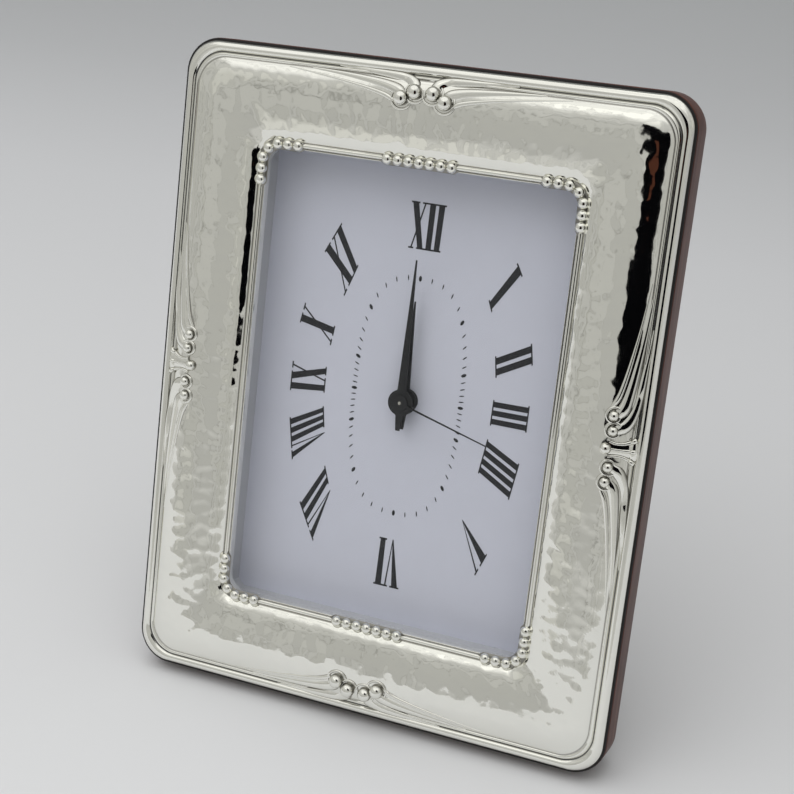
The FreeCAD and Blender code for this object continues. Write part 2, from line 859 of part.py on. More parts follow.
def build_bridge():
    """Rear plate of the train, on four pillars that stand on the base."""
    low = case_front + bridge_level
    high = low + bridge_thickness
    floor_back = case_front + case_wall
    xs = [x for x, _ in pillar_places] + [rotor_place()[0]]
    zs = [z for _, z in pillar_places]
    margin = 2 * pillar_radius
    blank = box(min(xs) - margin, max(xs) + margin, low, high,
                axle_z + min(zs) - pillar_radius, axle_z + max(zs) + margin)
    pillars = [peg(x, axle_z + z, pillar_radius, floor_back, low) for x, z in pillar_places]
    bearing = pivot_radius + running_fit
    holes = [peg_hole(x, z, bearing, low, high) for x, z in bearing_places().values()]
    holes.append(peg_hole(0, axle_z, bearing, low, high))
    holes.append(peg_hole(*setting_place(), setting_shaft_radius + running_fit, low, high))
    board_x = board_corner[0] + board_size[0] + pilot_fit
    notch = box(min(xs) - margin, board_x, low, high, axle_z + board_corner[1] - pilot_fit, axle_z + case_half)
    frame_parts["gear_bridge"] = fuse_all([blank] + pillars).cut(holes + [notch])


# Gears

def gear(x, z, teeth, module, y_low, y_high, first_angle):
    """Spur gear; first_angle is where one tooth points, in degrees from +X towards +Z.

    The fine teeth of the going train's wheels come to a point.
    """
    pitch = teeth * module / 2
    tip = pitch + addendum_share * module
    root = pitch - dedendum_share * module
    step = 2 * math.pi / teeth
    flank = ((-tooth_tip_share, tip), (tooth_tip_share, tip), (0.5, root))
    if teeth > most_flat_teeth:
        flank = ((0, tip), (0.5, root))
    points = []
    for index in range(teeth):
        middle = math.radians(first_angle) + index * step
        for share, radius in flank:
            turn = middle + share * step
            points.append((x + radius * math.cos(turn), z + radius * math.sin(turn)))
    return plate(points, y_low, y_high)


def mesh_angle(first_teeth, first_angle, direction, second_teeth):
    """Angle of a tooth of the second gear, in mesh with the first gear seen in a direction."""
    first_step = 360 / first_teeth
    second_step = 360 / second_teeth
    phase = ((direction - first_angle) / first_step) % 1
    return direction + 180 - (0.5 - phase) * second_step


def build_motion_work():
    first_module = 2 * motion_centre / (cannon_teeth + minute_wheel_teeth)
    second_module = 2 * motion_centre / (minute_pinion_teeth + hour_wheel_teeth)
    up = 90
    minute_x, minute_z = minute_place()
    setting_x, setting_z = setting_place()
    wheel_low = case_front + minute_wheel_level
    wheel_high = wheel_low + minute_wheel_thickness
    cannon_low = case_front + cannon_level
    cannon_high = cannon_low + cannon_height
    hour_low = case_front + hour_wheel_level
    hour_high = hour_low + hour_wheel_thickness

    tube_front = dial_face - minute_hand_height - hand_thickness
    bore = second_arbor_radius + tube_clearance
    cannon = gear(0, axle_z, cannon_teeth, first_module, cannon_low, cannon_high, up)
    clutch_seat = case_front + clutch_level + wheel_thickness + pinion_overlap
    sleeve = rod(0, axle_z, minute_tube_radius, tube_front, cannon_low)
    seat = rod(0, axle_z, minute_tube_radius, cannon_high, clutch_seat)
    cannon = fuse_all([cannon, sleeve, seat]).cut(rod_hole(0, axle_z, bore, tube_front, clutch_seat))
    frame_parts["cannon_pinion"] = cannon

    wheel_angle = mesh_angle(cannon_teeth, up, up, minute_wheel_teeth)
    wheel = gear(minute_x, minute_z, minute_wheel_teeth, first_module, wheel_low, wheel_high, wheel_angle)
    hour_angle = up
    pinion_angle = mesh_angle(hour_wheel_teeth, hour_angle, up, minute_pinion_teeth)
    pinion = gear(minute_x, minute_z, minute_pinion_teeth, second_module,
                  hour_low - pinion_overlap, wheel_low, pinion_angle)
    frame_parts["minute_wheel"] = fuse_all([wheel, pinion] + arbor(minute_x, minute_z, wheel_high))

    hour_tube_front = dial_face - hour_hand_height - hand_thickness
    hour_bore = minute_tube_radius + tube_clearance
    hour_wheel = gear(0, axle_z, hour_wheel_teeth, second_module, hour_low, hour_high, hour_angle)
    hour_tube = rod(0, axle_z, hour_tube_radius, hour_tube_front, hour_low)
    hour_wheel = hour_wheel.fuse(hour_tube).cut(rod_hole(0, axle_z, hour_bore, hour_tube_front, hour_high))
    frame_parts["hour_wheel"] = hour_wheel

    setting_angle = mesh_angle(minute_wheel_teeth, wheel_angle, up, setting_teeth)
    pinion = gear(setting_x, setting_z, setting_teeth, first_module, cannon_low, cannon_high, setting_angle)
    shaft = peg(setting_x, setting_z, setting_shaft_radius, cannon_high, case_back + knob_gap)
    tip = peg(setting_x, setting_z, pivot_radius, case_front + case_wall - pivot_depth / 2, cannon_low)
    frame_parts["setting_pinion"] = fuse_all([pinion, shaft, tip])
    build_knob(setting_x, setting_z)


def arbor(x, z, y_low):
    """Thin shaft from the base's pivot hole to the bridge's, thicker behind y_low."""
    front = case_front + case_wall - pivot_depth / 2
    shoulder = case_front + bridge_level - pinion_overlap
    back = case_front + bridge_level + bridge_thickness
    return [peg(x, z, pivot_radius, front, y_low), peg(x, z, arbor_radius, y_low, shoulder),
            peg(x, z, pivot_radius, shoulder, back)]


def build_knob(x, z):
    low = case_back + knob_gap
    points = []
    for index in range(2 * knob_flutes):
        turn = math.pi * index / knob_flutes
        radius = knob_radius if index % 2 else knob_radius - knob_flute_depth
        points.append((x + radius * math.cos(turn), z + radius * math.sin(turn)))
    frame_parts["setting_knob"] = plate(points, low, low + knob_thickness)


def build_train():
    train_module = 2 * train_centre / (small_pinion_teeth + third_teeth)
    clutch_module = 2 * train_centre / (small_pinion_teeth + clutch_teeth)
    second_module = 2 * second_centre / (small_pinion_teeth + second_teeth)
    rotor_module = 2 * rotor_centre / (small_pinion_teeth + fifth_teeth)
    left, right = 180, 0
    third_x, third_z = third_place()
    fifth_x, fifth_z = fifth_place()
    rotor_x, rotor_z = rotor_place()
    low = {name: case_front + level for name, level in (
        ("clutch", clutch_level), ("third", third_level), ("second", second_level), ("fifth", fifth_level))}
    high = {name: level + wheel_thickness for name, level in low.items()}

    clutch_bore = minute_tube_radius + pilot_fit
    clutch = gear(0, axle_z, clutch_teeth, clutch_module, low["clutch"], high["clutch"], left)
    frame_parts["clutch_wheel"] = clutch.cut(rod(0, axle_z, clutch_bore, low["clutch"], high["clutch"]))

    third_pinion_angle = mesh_angle(clutch_teeth, left, left, small_pinion_teeth)
    third_pinion = gear(third_x, third_z, small_pinion_teeth, clutch_module,
                        low["clutch"] - pinion_overlap, low["third"], third_pinion_angle)
    second_pinion_angle = left
    third_angle = mesh_angle(small_pinion_teeth, second_pinion_angle, left, third_teeth)
    third = gear(third_x, third_z, third_teeth, train_module, low["third"], high["third"], third_angle)
    shaft = arbor(third_x, third_z, high["third"])
    frame_parts["third_wheel"] = fuse_all([third, third_pinion] + shaft)

    second_pinion = gear(0, axle_z, small_pinion_teeth, train_module,
                         low["third"] - pinion_overlap, low["second"], second_pinion_angle)
    second = gear(0, axle_z, second_teeth, second_module, low["second"], high["second"], right)
    arbor_front = dial_face - second_hand_height - hand_thickness
    arbor_back = case_front + bridge_level - pinion_overlap
    shaft = [peg(0, axle_z, second_arbor_radius, arbor_front, low["third"] - pinion_overlap),
             peg(0, axle_z, arbor_radius, high["second"], arbor_back),
             peg(0, axle_z, pivot_radius, arbor_back, case_front + bridge_level + bridge_thickness)]
    frame_parts["second_wheel"] = fuse_all([second_pinion, second] + shaft)

    fifth_pinion_angle = mesh_angle(second_teeth, right, right, small_pinion_teeth)
    fifth_pinion = gear(fifth_x, fifth_z, small_pinion_teeth, second_module,
                        low["second"] - pinion_overlap, low["fifth"], fifth_pinion_angle)
    fifth = gear(fifth_x, fifth_z, fifth_teeth, rotor_module, low["fifth"], high["fifth"], right)
    front = case_front + case_wall - pivot_depth / 2
    shaft = arbor(fifth_x, fifth_z, high["fifth"])[1:]
    shaft.append(peg(fifth_x, fifth_z, pivot_radius, front, low["second"] - pinion_overlap))
    frame_parts["fifth_wheel"] = fuse_all([fifth, fifth_pinion] + shaft)

    rotor_angle = mesh_angle(fifth_teeth, right, right, small_pinion_teeth)
    pinion_low_face = low["fifth"] - pinion_overlap
    pinion_high_face = high["fifth"] + pinion_overlap
    rotor_pinion = gear(rotor_x, rotor_z, small_pinion_teeth, rotor_module,
                        pinion_low_face, pinion_high_face, rotor_angle)
    magnet_low = case_front + magnet_level
    magnet_high = magnet_low + magnet_height
    magnet = rod(rotor_x, rotor_z, magnet_radius, magnet_low, magnet_high)
    shaft = [peg(rotor_x, rotor_z, pivot_radius, front, magnet_low),
             peg(rotor_x, rotor_z, arbor_radius, magnet_high, pinion_low_face),
             peg(rotor_x, rotor_z, pivot_radius, pinion_high_face, case_front + bridge_level + bridge_thickness)]
    frame_parts["rotor"] = fuse_all([magnet, rotor_pinion] + shaft)


# Motor, circuit and battery

def build_motor():
    rotor_x, rotor_z = rotor_place()
    low = case_front + stator_level
    high = low + stator_thickness
    half = stator_width / 2
    bottom = rotor_z - stator_low
    top = rotor_z + stator_high
    stator = box(rotor_x - half, rotor_x + half, low, high, bottom, top)
    hole = rod(rotor_x, rotor_z, magnet_radius + stator_hole_play, low, high)
    frame_parts["stator_plate"] = stator.cut(hole)
    core_low, core_high = high, high + stator_thickness
    coil_x = rotor_x + core_reach
    right = coil_x + core_bar / 2
    bars = [box(rotor_x, right, core_low, core_high, bottom, bottom + core_bar),
            box(rotor_x, right, core_low, core_high, top - core_bar, top),
            box(right - core_bar, right, core_low, core_high, bottom, top)]
    frame_parts["coil_core"] = fuse_all(bars)
    coil_low = bottom + core_bar + coil_margin
    coil_high = top - core_bar - coil_margin
    middle = (core_low + core_high) / 2
    ring = [Vector(x, y, coil_low) for x, y in many_sided(coil_x, middle, coil_radius, round_sides)]
    coil = Part.Face(Part.makePolygon(ring + ring[:1])).extrude(Vector(0, 0, coil_high - coil_low))
    frame_parts["coil_winding"] = coil.cut(frame_parts["coil_core"])
    board_low = case_front + board_level
    x, z = board_corner[0], axle_z + board_corner[1]
    board_high = board_low + board_thickness
    board = box(x, x + board_size[0], board_low, board_high, z, z + board_size[1])
    frame_parts["circuit_board"] = board
    can_y = board_low - crystal_radius - crystal_gap
    can_x = x + board_size[0] / 2 - crystal_length / 2
    can_z = z + board_size[1] / 2
    frame_parts["quartz_can"] = cross_bar(can_x, can_x + crystal_length, can_y, can_z, crystal_radius)


def build_battery():
    z = axle_z + battery_height
    half = battery_length / 2
    body_end = half - battery_tip_length
    cell = cross_bar(-half, body_end, battery_depth, z, battery_radius, battery_sides)
    tip = cross_bar(body_end, half, battery_depth, z, battery_tip_radius)
    frame_parts["battery_cell"] = cell.fuse(tip)
    inner = case_half - case_wall
    for name, side in (("contact_positive", 1), ("contact_negative", -1)):
        wall_low = min(side * inner, side * (inner - contact_thickness))
        strip = box(wall_low, wall_low + contact_thickness, case_front + case_wall,
                    case_back - case_wall, z - contact_width / 2, z + contact_width / 2)
        reach = inner - contact_thickness
        bow = Part.Arc(Vector(side * reach, battery_depth - contact_width / 2, z - contact_width / 2),
                       Vector(side * (half + contact_play), battery_depth, z - contact_width / 2),
                       Vector(side * reach, battery_depth + contact_width / 2, z - contact_width / 2))
        chord = Part.LineSegment(bow.EndPoint, bow.StartPoint)
        spring = Part.Face(Part.Wire([bow.toShape(), chord.toShape()])).extrude(Vector(0, 0, contact_width))
        frame_parts[name] = strip.fuse(spring)


# Hands

def hand_blade(length, width, y_low, y_high):
    """Tapered hand that points up, with its tail, about the hands' axle."""
    tip = width * hand_tip_share / 2
    tail = width * hand_tail_share / 2
    half = width / 2
    outline = ((-half, axle_z), (-tip, axle_z + length), (tip, axle_z + length), (half, axle_z),
               (tail, axle_z - hand_tail), (-tail, axle_z - hand_tail))
    return plate(outline, y_low, y_high)


def build_hands():
    for name, length, width, height, tube_radius in (
            ("hour_hand", hour_hand_length, hour_hand_width, hour_hand_height, hour_tube_radius),
            ("minute_hand", minute_hand_length, minute_hand_width, minute_hand_height, minute_tube_radius)):
        y_high = dial_face - height
        y_low = y_high - hand_thickness
        blade = hand_blade(length, width, y_low, y_high)
        boss = peg(0, axle_z, boss_radius, y_low, y_high, boss_sides)
        collar = rod(0, axle_z, tube_radius + collar_wall, y_high, y_high + collar_height - hand_thickness)
        bore = rod(0, axle_z, tube_radius, y_low, y_high + collar_height)
        frame_parts[name] = fuse_all([blade, boss, collar]).cut(bore)
    y_high = dial_face - second_hand_height
    y_low = y_high - hand_thickness
    hub = peg(0, axle_z, second_hub_radius, y_low, y_high, boss_sides)
    half = second_hand_width / 2
    needle = plate(((-half, axle_z), (-half / 2, axle_z + second_hand_length),
                    (half / 2, axle_z + second_hand_length), (half, axle_z)), y_low, y_high)
    needle.rotate(Vector(0, 0, axle_z), Vector(0, 1, 0), second_hand_angle)
    blind = peg(0, axle_z, second_arbor_radius, y_low, y_high)
    frame_parts["second_hand"] = fuse_all([hub, needle]).cut(blind)


# Standing the clock on the table

def placements():
    """Placements of the fixed pieces and of the open leg, with the box's bottom centre at the origin."""
    pin = Vector(-leg_from_axis, pin_depth, pin_height)
    opened = FreeCAD.Placement(Vector(0, 0, 0), FreeCAD.Rotation(Vector(1, 0, 0), leg_open_angle), pin)
    leaned = FreeCAD.Placement(Vector(0, 0, 0), FreeCAD.Rotation(Vector(1, 0, 0), -lean_angle))
    bounds = FreeCAD.BoundBox()
    for name in ("silver_front", "wood_frame"):
        bounds.add(frame_parts[name].transformGeometry(leaned.toMatrix()).optimalBoundingBox(False))
    foot = leg_parts["easel_leg"].transformGeometry(leaned.multiply(opened).toMatrix())
    bounds.add(foot.optimalBoundingBox(False))
    shift = Vector(-(bounds.XMin + bounds.XMax) / 2, -(bounds.YMin + bounds.YMax) / 2, -floor_height())
    stand = FreeCAD.Placement(shift, FreeCAD.Rotation()).multiply(leaned)
    return stand, stand.multiply(opened)


def export(shape, name, placement):
    placed = shape.copy()
    placed.Placement = placement.multiply(placed.Placement)
    placed.exportStep("parts/" + name + ".step")


def build_all():
    build_front()
    build_wood()
    build_window_stack()
    build_buttons()
    build_leg()
    build_case()
    build_bridge()
    build_motion_work()
    build_train()
    build_motor()
    build_battery()
    build_hands()
    return placements()


os.makedirs("parts", exist_ok=True)
stand_placement, leg_placement = build_all()
for part_name, part_shape in frame_parts.items():
    export(part_shape, part_name, stand_placement)
for part_name, part_shape in leg_parts.items():
    export(part_shape, part_name, leg_placement)
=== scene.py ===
import json
import logging
import math
from dataclasses import dataclass, field
from enum import Enum
from typing import Any, Optional, Sequence, Union

import bmesh
import bpy
import numpy as np
from mathutils import Matrix, Vector, kdtree

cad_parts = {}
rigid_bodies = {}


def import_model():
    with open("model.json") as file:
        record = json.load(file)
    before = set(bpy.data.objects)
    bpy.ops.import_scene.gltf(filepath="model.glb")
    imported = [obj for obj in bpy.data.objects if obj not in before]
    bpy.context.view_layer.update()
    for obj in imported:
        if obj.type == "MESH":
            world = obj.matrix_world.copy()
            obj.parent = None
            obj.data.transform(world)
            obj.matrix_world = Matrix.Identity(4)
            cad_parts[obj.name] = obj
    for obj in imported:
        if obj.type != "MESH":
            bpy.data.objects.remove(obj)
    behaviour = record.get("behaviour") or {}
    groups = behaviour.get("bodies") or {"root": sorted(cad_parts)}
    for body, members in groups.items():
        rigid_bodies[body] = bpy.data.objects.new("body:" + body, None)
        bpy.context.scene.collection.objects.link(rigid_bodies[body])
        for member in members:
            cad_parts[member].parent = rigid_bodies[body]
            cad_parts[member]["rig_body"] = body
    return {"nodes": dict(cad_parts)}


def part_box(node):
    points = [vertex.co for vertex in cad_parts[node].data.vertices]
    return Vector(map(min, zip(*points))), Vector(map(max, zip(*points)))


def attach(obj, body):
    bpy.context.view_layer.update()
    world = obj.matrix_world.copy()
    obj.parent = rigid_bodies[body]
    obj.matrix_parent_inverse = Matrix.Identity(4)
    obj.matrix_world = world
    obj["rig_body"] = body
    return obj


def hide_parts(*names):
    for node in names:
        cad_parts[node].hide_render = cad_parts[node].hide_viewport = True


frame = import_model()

# Looks of a table clock with an embossed silver front. Shapes are worked out in the clock's own
# millimetres, with X to the right, Y from the viewer into the clock and Z up its face, and are
# then set in the leaning frame of the solids, in metres.

LOG = logging.getLogger("clock")
MILLIMETRE = 0.001
QUARTER = math.pi / 2
# How softly painted shade fades out up the flanks of a ridge or the side of a ball.
SHADE_FADE = 0.3
Pair = tuple[float, float]
Triple = tuple[float, float, float]
Colour = Triple
Key = Union[int, str]
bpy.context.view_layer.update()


class Side(Enum):
    """One of the four members of the frame."""

    TOP = "top"
    BOTTOM = "bottom"
    LEFT = "left"
    RIGHT = "right"


class Grain(Enum):
    """Which way the fibres of a piece of wood run."""

    UP = "up"
    FRAMED = "framed"


# --- shader writing


class Nodes:
    """A node tree in the making."""

    def __init__(self, tree: bpy.types.NodeTree) -> None:
        """Keeps the tree."""
        self.tree = tree

    def add(self, kind: str, settings: Optional[dict[str, Any]] = None,
            sockets: Optional[dict[Key, Any]] = None) -> bpy.types.Node:
        """Adds a node.

        Args:
            kind: the node's type.
            settings: its properties, set first; "stops" holds a ramp's positions and colours.
            sockets: its inputs, each a wire or a socket to link, or a plain value.

        Returns:
            The node.
        """
        made = self.tree.nodes.new(kind)
        for key, value in (settings or {}).items():
            if key != "stops":
                setattr(made, key, value)
                continue
            elements = made.color_ramp.elements
            while len(elements) < len(value):
                elements.new(0.5)
            for element, (position, colour) in zip(elements, value):
                element.position = position
                element.color = (*colour, 1.0)
        for key, value in (sockets or {}).items():
            source = value.socket if isinstance(value, Wire) else value
            if isinstance(source, bpy.types.NodeSocket):
                self.tree.links.new(source, made.inputs[key])
            else:
                made.inputs[key].default_value = source
        return made


class Wire:
    """A shader socket whose arithmetic adds Math nodes."""

    def __init__(self, dress: "Dress", socket: bpy.types.NodeSocket) -> None:
        """Keeps the socket and the dress that it belongs to."""
        self.dress = dress
        self.socket = socket

    def _worked(self, operation: str, first: Any, second: Any) -> "Wire":
        """Adds one Math node on two wires or numbers."""
        return self.dress.node("ShaderNodeMath", {"operation": operation}, {0: first, 1: second})

    def __add__(self, other: Any) -> "Wire":
        """Sum."""
        return self._worked("ADD", self, other)

    def __rsub__(self, other: Any) -> "Wire":
        """Difference from a number."""
        return self._worked("SUBTRACT", other, self)

    def __mul__(self, other: Any) -> "Wire":
        """Product."""
        return self._worked("MULTIPLY", self, other)

    def at_least(self, other: Any) -> "Wire":
        """The larger of two values."""
        return self._worked("MAXIMUM", self, other)


class Dress(Nodes):
    """Writes the shader nodes of one material, or of the room."""

    def __init__(self, name: str, pool: Any = None) -> None:
        """Starts empty.

        Args:
            name: the name of what is made.
            pool: where it is kept; the materials unless it says otherwise.
        """
        self.made = (bpy.data.materials if pool is None else pool).new(name)
        self.made.use_nodes = True
        super().__init__(self.made.node_tree)
        self.tree.nodes.clear()

    def node(self, kind: str, settings: Optional[dict[str, Any]] = None,
             sockets: Optional[dict[Key, Any]] = None, output: Key = 0) -> Wire:
        """Adds a node and returns the wire of one output."""
        return Wire(self, self.add(kind, settings, sockets).outputs[output])

    def place(self, stretch: Triple = (1, 1, 1), lean: float = 0.0) -> Wire:
        """Place on the piece, turned upright with the clock's face.

        Args:
            stretch: how much closer a pattern lies along X, Y and Z.
            lean: angle in radians that the clock leans back.

        Returns:
            The wire of the place.
        """
        here = self.node("ShaderNodeTexCoord", output="Object")
        upright = self.node("ShaderNodeMapping", sockets={"Vector": here, "Rotation": (lean, 0, 0)})
        return self.node("ShaderNodeMapping", sockets={"Vector": upright, "Scale": stretch})

    def noise(self, place: Wire, size: float, detail: float = 2.0, stir: float = 0.0) -> Wire:
        """Soft noise.

        Args:
            place: where it is read.
            size: how many millimetres its lumps measure.
            detail: how many finer layers it has.
            stir: how far it is distorted.

        Returns:
            The wire of its value, from 0 to 1.
        """
        sockets = {"Vector": place, "Scale": 1 / (size * MILLIMETRE), "Detail": detail,
                   "Distortion": stir}
        return self.node("ShaderNodeTexNoise", sockets=sockets, output="Fac")

    def mask(self, name: str) -> Wire:
        """A number kept on the mesh."""
        return self.node("ShaderNodeAttribute", {"attribute_name": name}, output="Fac")

    def ramp(self, value: Wire, *stops: tuple[float, Colour]) -> Wire:
        """Colour for each value, between stops."""
        return self.node("ShaderNodeValToRGB", {"stops": stops}, {"Fac": value})

    def mixed(self, share: Any, first: Any, second: Any, blend: str = "MIX") -> Wire:
        """Mixes two colours.

        Args:
            share: how much of the second shows.
            first: a wire or a colour.
            second: a wire or a colour.
            blend: the way of mixing.

        Returns:
            The wire of the mixed colour.
        """
        first, second = (value if isinstance(value, Wire) else (*value, 1.0)
                         for value in (first, second))
        settings = {"data_type": "RGBA", "blend_type": blend}
        return self.node("ShaderNodeMix", settings, {0: share, 6: first, 7: second}, output=2)

    def bump(self, height: Wire, depth: float, below: Optional[Wire] = None) -> Wire:
        """Bump of a height.

        Args:
            height: the height, from 0 to 1.
            depth: how many millimetres a height of 1 measures.
            below: an earlier bump that this one lies over.

        Returns:
            The wire of the bumped normal.
        """
        sockets: dict[Key, Any] = {"Height": height, "Strength": 1.0,
                                   "Distance": depth * MILLIMETRE}
        if below is not None:
            sockets["Normal"] = below
        return self.node("ShaderNodeBump", sockets=sockets)

    def shaded(self, **sockets: Any) -> bpy.types.Material:
        """Ends the material in one Principled shader.

        Args:
            sockets: its inputs by name, with _ for a space.

        Returns:
            The finished material.
        """
        named: dict[Key, Any] = {}
        for key, value in sockets.items():
            plain = "Color" in key and not isinstance(value, Wire)
            named[key.replace("_", " ")] = (*value, 1.0) if plain else value
        self.end("ShaderNodeOutputMaterial", self.node("ShaderNodeBsdfPrincipled", sockets=named))
        return self.made

    def end(self, kind: str, surface: Wire) -> None:
        """Joins a shader to an output node of that kind."""
        self.add(kind, sockets={"Surface": surface})


# --- finishes


@dataclass(frozen=True)
class Silver:
    """Polished silver sheet with dents in its band; its grooves and creases are darkened as
    tarnished silver and as painted shade.
    """

    name: str
    lean: float
    bright: Colour = (0.935, 0.93, 0.872)
    # Near-black of tarnished silver and of painted shade in creases.
    tarnish_and_shade: Colour = (0.17, 0.16, 0.14)
    roughness: float = 0.055
    dent_size: float = 3.1
    dent_depth: float = 0.06

    def made(self) -> bpy.types.Material:
        """Writes the material, darkened as tarnished silver and painted shade where the mesh's
        number is above 0 and dented where below.

        Returns:
            The material.
        """
        dress = Dress(self.name)
        place = dress.place(lean=self.lean)
        cloud = dress.noise(place, 14.0, 3.0)
        wipe = dress.noise(dress.place((1, 1, 0.35), self.lean), 2.2, 4.0)
        number = dress.mask("groove")
        groove = number.at_least(0.0)
        hammered = (number * -1.0).at_least(0.0)
        # Numbers above 0 darken the silver: tarnished silver together with painted shade in grooves
        # and creases.
        colour = dress.mixed(groove * 0.8 + cloud * 0.06, self.bright, self.tarnish_and_shade)
        rough = groove * 0.22 + wipe * 0.045 + cloud * 0.03 + (self.roughness - 0.03)
        dents = dress.noise(place, self.dent_size, 0.0, 0.5) * hammered
        normal = dress.bump(dress.noise(place, 1.6, 1.0, 0.4), 0.004,
                            dress.bump(dents, self.dent_depth))
        return dress.shaded(Base_Color=colour, Metallic=1.0, Roughness=rough, Normal=normal)


@dataclass(frozen=True)
class Lacquered:
    """Red-brown wood under a thin satin lacquer."""

    name: str
    lean: float
    grain: Grain = Grain.UP
    dark: Colour = (0.021, 0.007, 0.006)
    mid: Colour = (0.08, 0.026, 0.018)
    light: Colour = (0.165, 0.058, 0.038)
    along: float = 0.045

    def made(self) -> bpy.types.Material:
        """Writes the material.

        Returns:
            The material.
        """
        dress = Dress(self.name)
        fibre = self._fibres(dress, (1, 1, self.along))
        if self.grain is Grain.FRAMED:
            level = self._fibres(dress, (self.along, 1, 1))
            across = dress.mask("across")
            fibre = fibre * (1 - across) + level * across
        cloud = dress.noise(dress.place(lean=self.lean), 9.0, 3.0)
        colour = dress.ramp(fibre * 0.75 + cloud * 0.25,
                            (0.28, self.dark), (0.5, self.mid), (0.74, self.light))
        return dress.shaded(Base_Color=colour, Roughness=0.44 - fibre * 0.14,
                            Normal=dress.bump(fibre, 0.05), Coat_Weight=0.03, Coat_Roughness=0.2,
                            Specular_IOR_Level=0.12)

    def _fibres(self, dress: Dress, stretch: Triple) -> Wire:
        """Streaks along the grain, with the pattern drawn together along X, Y and Z."""
        place = dress.place(stretch, self.lean)
        return dress.noise(place, 0.9, 4.0, 0.6) * 0.6 + dress.noise(place, 3.4, 2.0, 1.2) * 0.4


@dataclass(frozen=True)
class Moulded:
    """Moulded plastic with a fine spark-worn texture."""

    name: str
    colour: Colour
    roughness: float = 0.42
    texture: float = 0.35
    depth: float = 0.02

    def made(self) -> bpy.types.Material:
        """Writes the material.

        Returns:
            The material.
        """
        dress = Dress(self.name)
        place = dress.place()
        fine = dress.noise(place, self.texture, 2.0)
        cloud = dress.noise(place, 11.0, 2.0)
        shade = tuple(channel * 0.72 for channel in self.colour)
        colour = dress.mixed(cloud * 0.6 + fine * 0.25, self.colour, shade)
        rough = fine * 0.16 + cloud * 0.08 + (self.roughness - 0.12)
        return dress.shaded(Base_Color=colour, Roughness=rough,
                            Normal=dress.bump(fine, self.depth))


@dataclass(frozen=True)
class Metal:
    """Drawn or plated metal with fine scratches."""

    name: str
    colour: Colour
    roughness: float = 0.28
    stretch: Triple = (1.0, 1.0, 0.12)

    def made(self) -> bpy.types.Material:
        """Writes the material.

        Returns:
            The material.
        """
        dress = Dress(self.name)
        scratch = dress.noise(dress.place(self.stretch), 0.35, 3.0)
        cloud = dress.noise(dress.place(), 6.0, 3.0)
        worn = tuple(channel * 0.66 for channel in self.colour)
        colour = dress.mixed(cloud * 0.5 + scratch * 0.3, self.colour, worn)
        rough = scratch * 0.18 + cloud * 0.1 + (self.roughness - 0.14)
        return dress.shaded(Base_Color=colour, Metallic=1.0, Roughness=rough,
                            Normal=dress.bump(scratch, 0.01))


@dataclass(frozen=True)
class Card:
    """Printed card, board or fibre panel."""

    name: str
    colour: Colour
    speck: Colour
    fibre: float = 0.5
    depth: float = 0.012
    roughness: float = 0.58

    def made(self) -> bpy.types.Material:
        """Writes the material.

        Returns:
            The material.
        """
        dress = Dress(self.name)
        place = dress.place()
        fibre = dress.noise(place, self.fibre, 5.0, 0.8)
        cloud = dress.noise(place, 30.0, 2.0)
        colour = dress.mixed(fibre * 0.5 + cloud * 0.25, self.colour, self.speck)
        return dress.shaded(Base_Color=colour, Roughness=fibre * 0.12 + (self.roughness - 0.06),
                            Normal=dress.bump(fibre, self.depth))


@dataclass(frozen=True)
class Enamel:
    """Thin dark paint or ink with a soft shine."""

    name: str
    colour: Colour = (0.008, 0.008, 0.010)
    roughness: float = 0.5

    def made(self) -> bpy.types.Material:
        """Writes the material.

        Returns:
            The material.
        """
        dress = Dress(self.name)
        place = dress.place()
        speck = dress.noise(place, 0.25, 3.0)
        lifted = tuple(channel * 1.6 + 0.002 for channel in self.colour)
        colour = dress.mixed(dress.noise(place, 5.0, 2.0) * 0.5, self.colour, lifted)
        return dress.shaded(Base_Color=colour, Roughness=speck * 0.12 + (self.roughness - 0.06),
                            Normal=dress.bump(speck, 0.004))


@dataclass(frozen=True)
class Pane:
    """Clear float glass with a faint dust haze."""

    name: str

    def made(self) -> bpy.types.Material:
        """Writes the material.

        Returns:
            The material.
        """
        dress = Dress(self.name)
        haze = dress.noise(dress.place(), 8.0, 4.0)
        return dress.shaded(Base_Color=(0.10, 0.11, 0.11), Roughness=haze * 0.03 + 0.01,
                            Alpha=haze * 0.02 + 0.03, IOR=1.5)


@dataclass(frozen=True)
class Jacket:
    """Printed plastic jacket of a dry cell, dark with a copper-coloured end."""

    name: str
    split: float
    body: Colour = (0.02, 0.022, 0.026)
    end: Colour = (0.55, 0.27, 0.12)
    scuffed: Colour = (0.2, 0.2, 0.2)

    def made(self) -> bpy.types.Material:
        """Writes the material.

        Returns:
            The material.
        """
        dress = Dress(self.name)
        here = dress.node("ShaderNodeTexCoord", output="Object")
        along = dress.node("ShaderNodeSeparateXYZ", sockets={0: here}, output="X")
        past = dress.node("ShaderNodeMath", {"operation": "GREATER_THAN"},
                          {0: along, 1: self.split * MILLIMETRE})
        scuff = dress.noise(dress.place((0.3, 1, 1)), 0.8, 4.0)
        colour = dress.mixed(scuff * 0.25, dress.mixed(past, self.body, self.end), self.scuffed)
        return dress.shaded(Base_Color=colour, Metallic=past * 0.8, Roughness=scuff * 0.2 + 0.2,
                            Normal=dress.bump(scuff, 0.008))


# --- stance and meshes


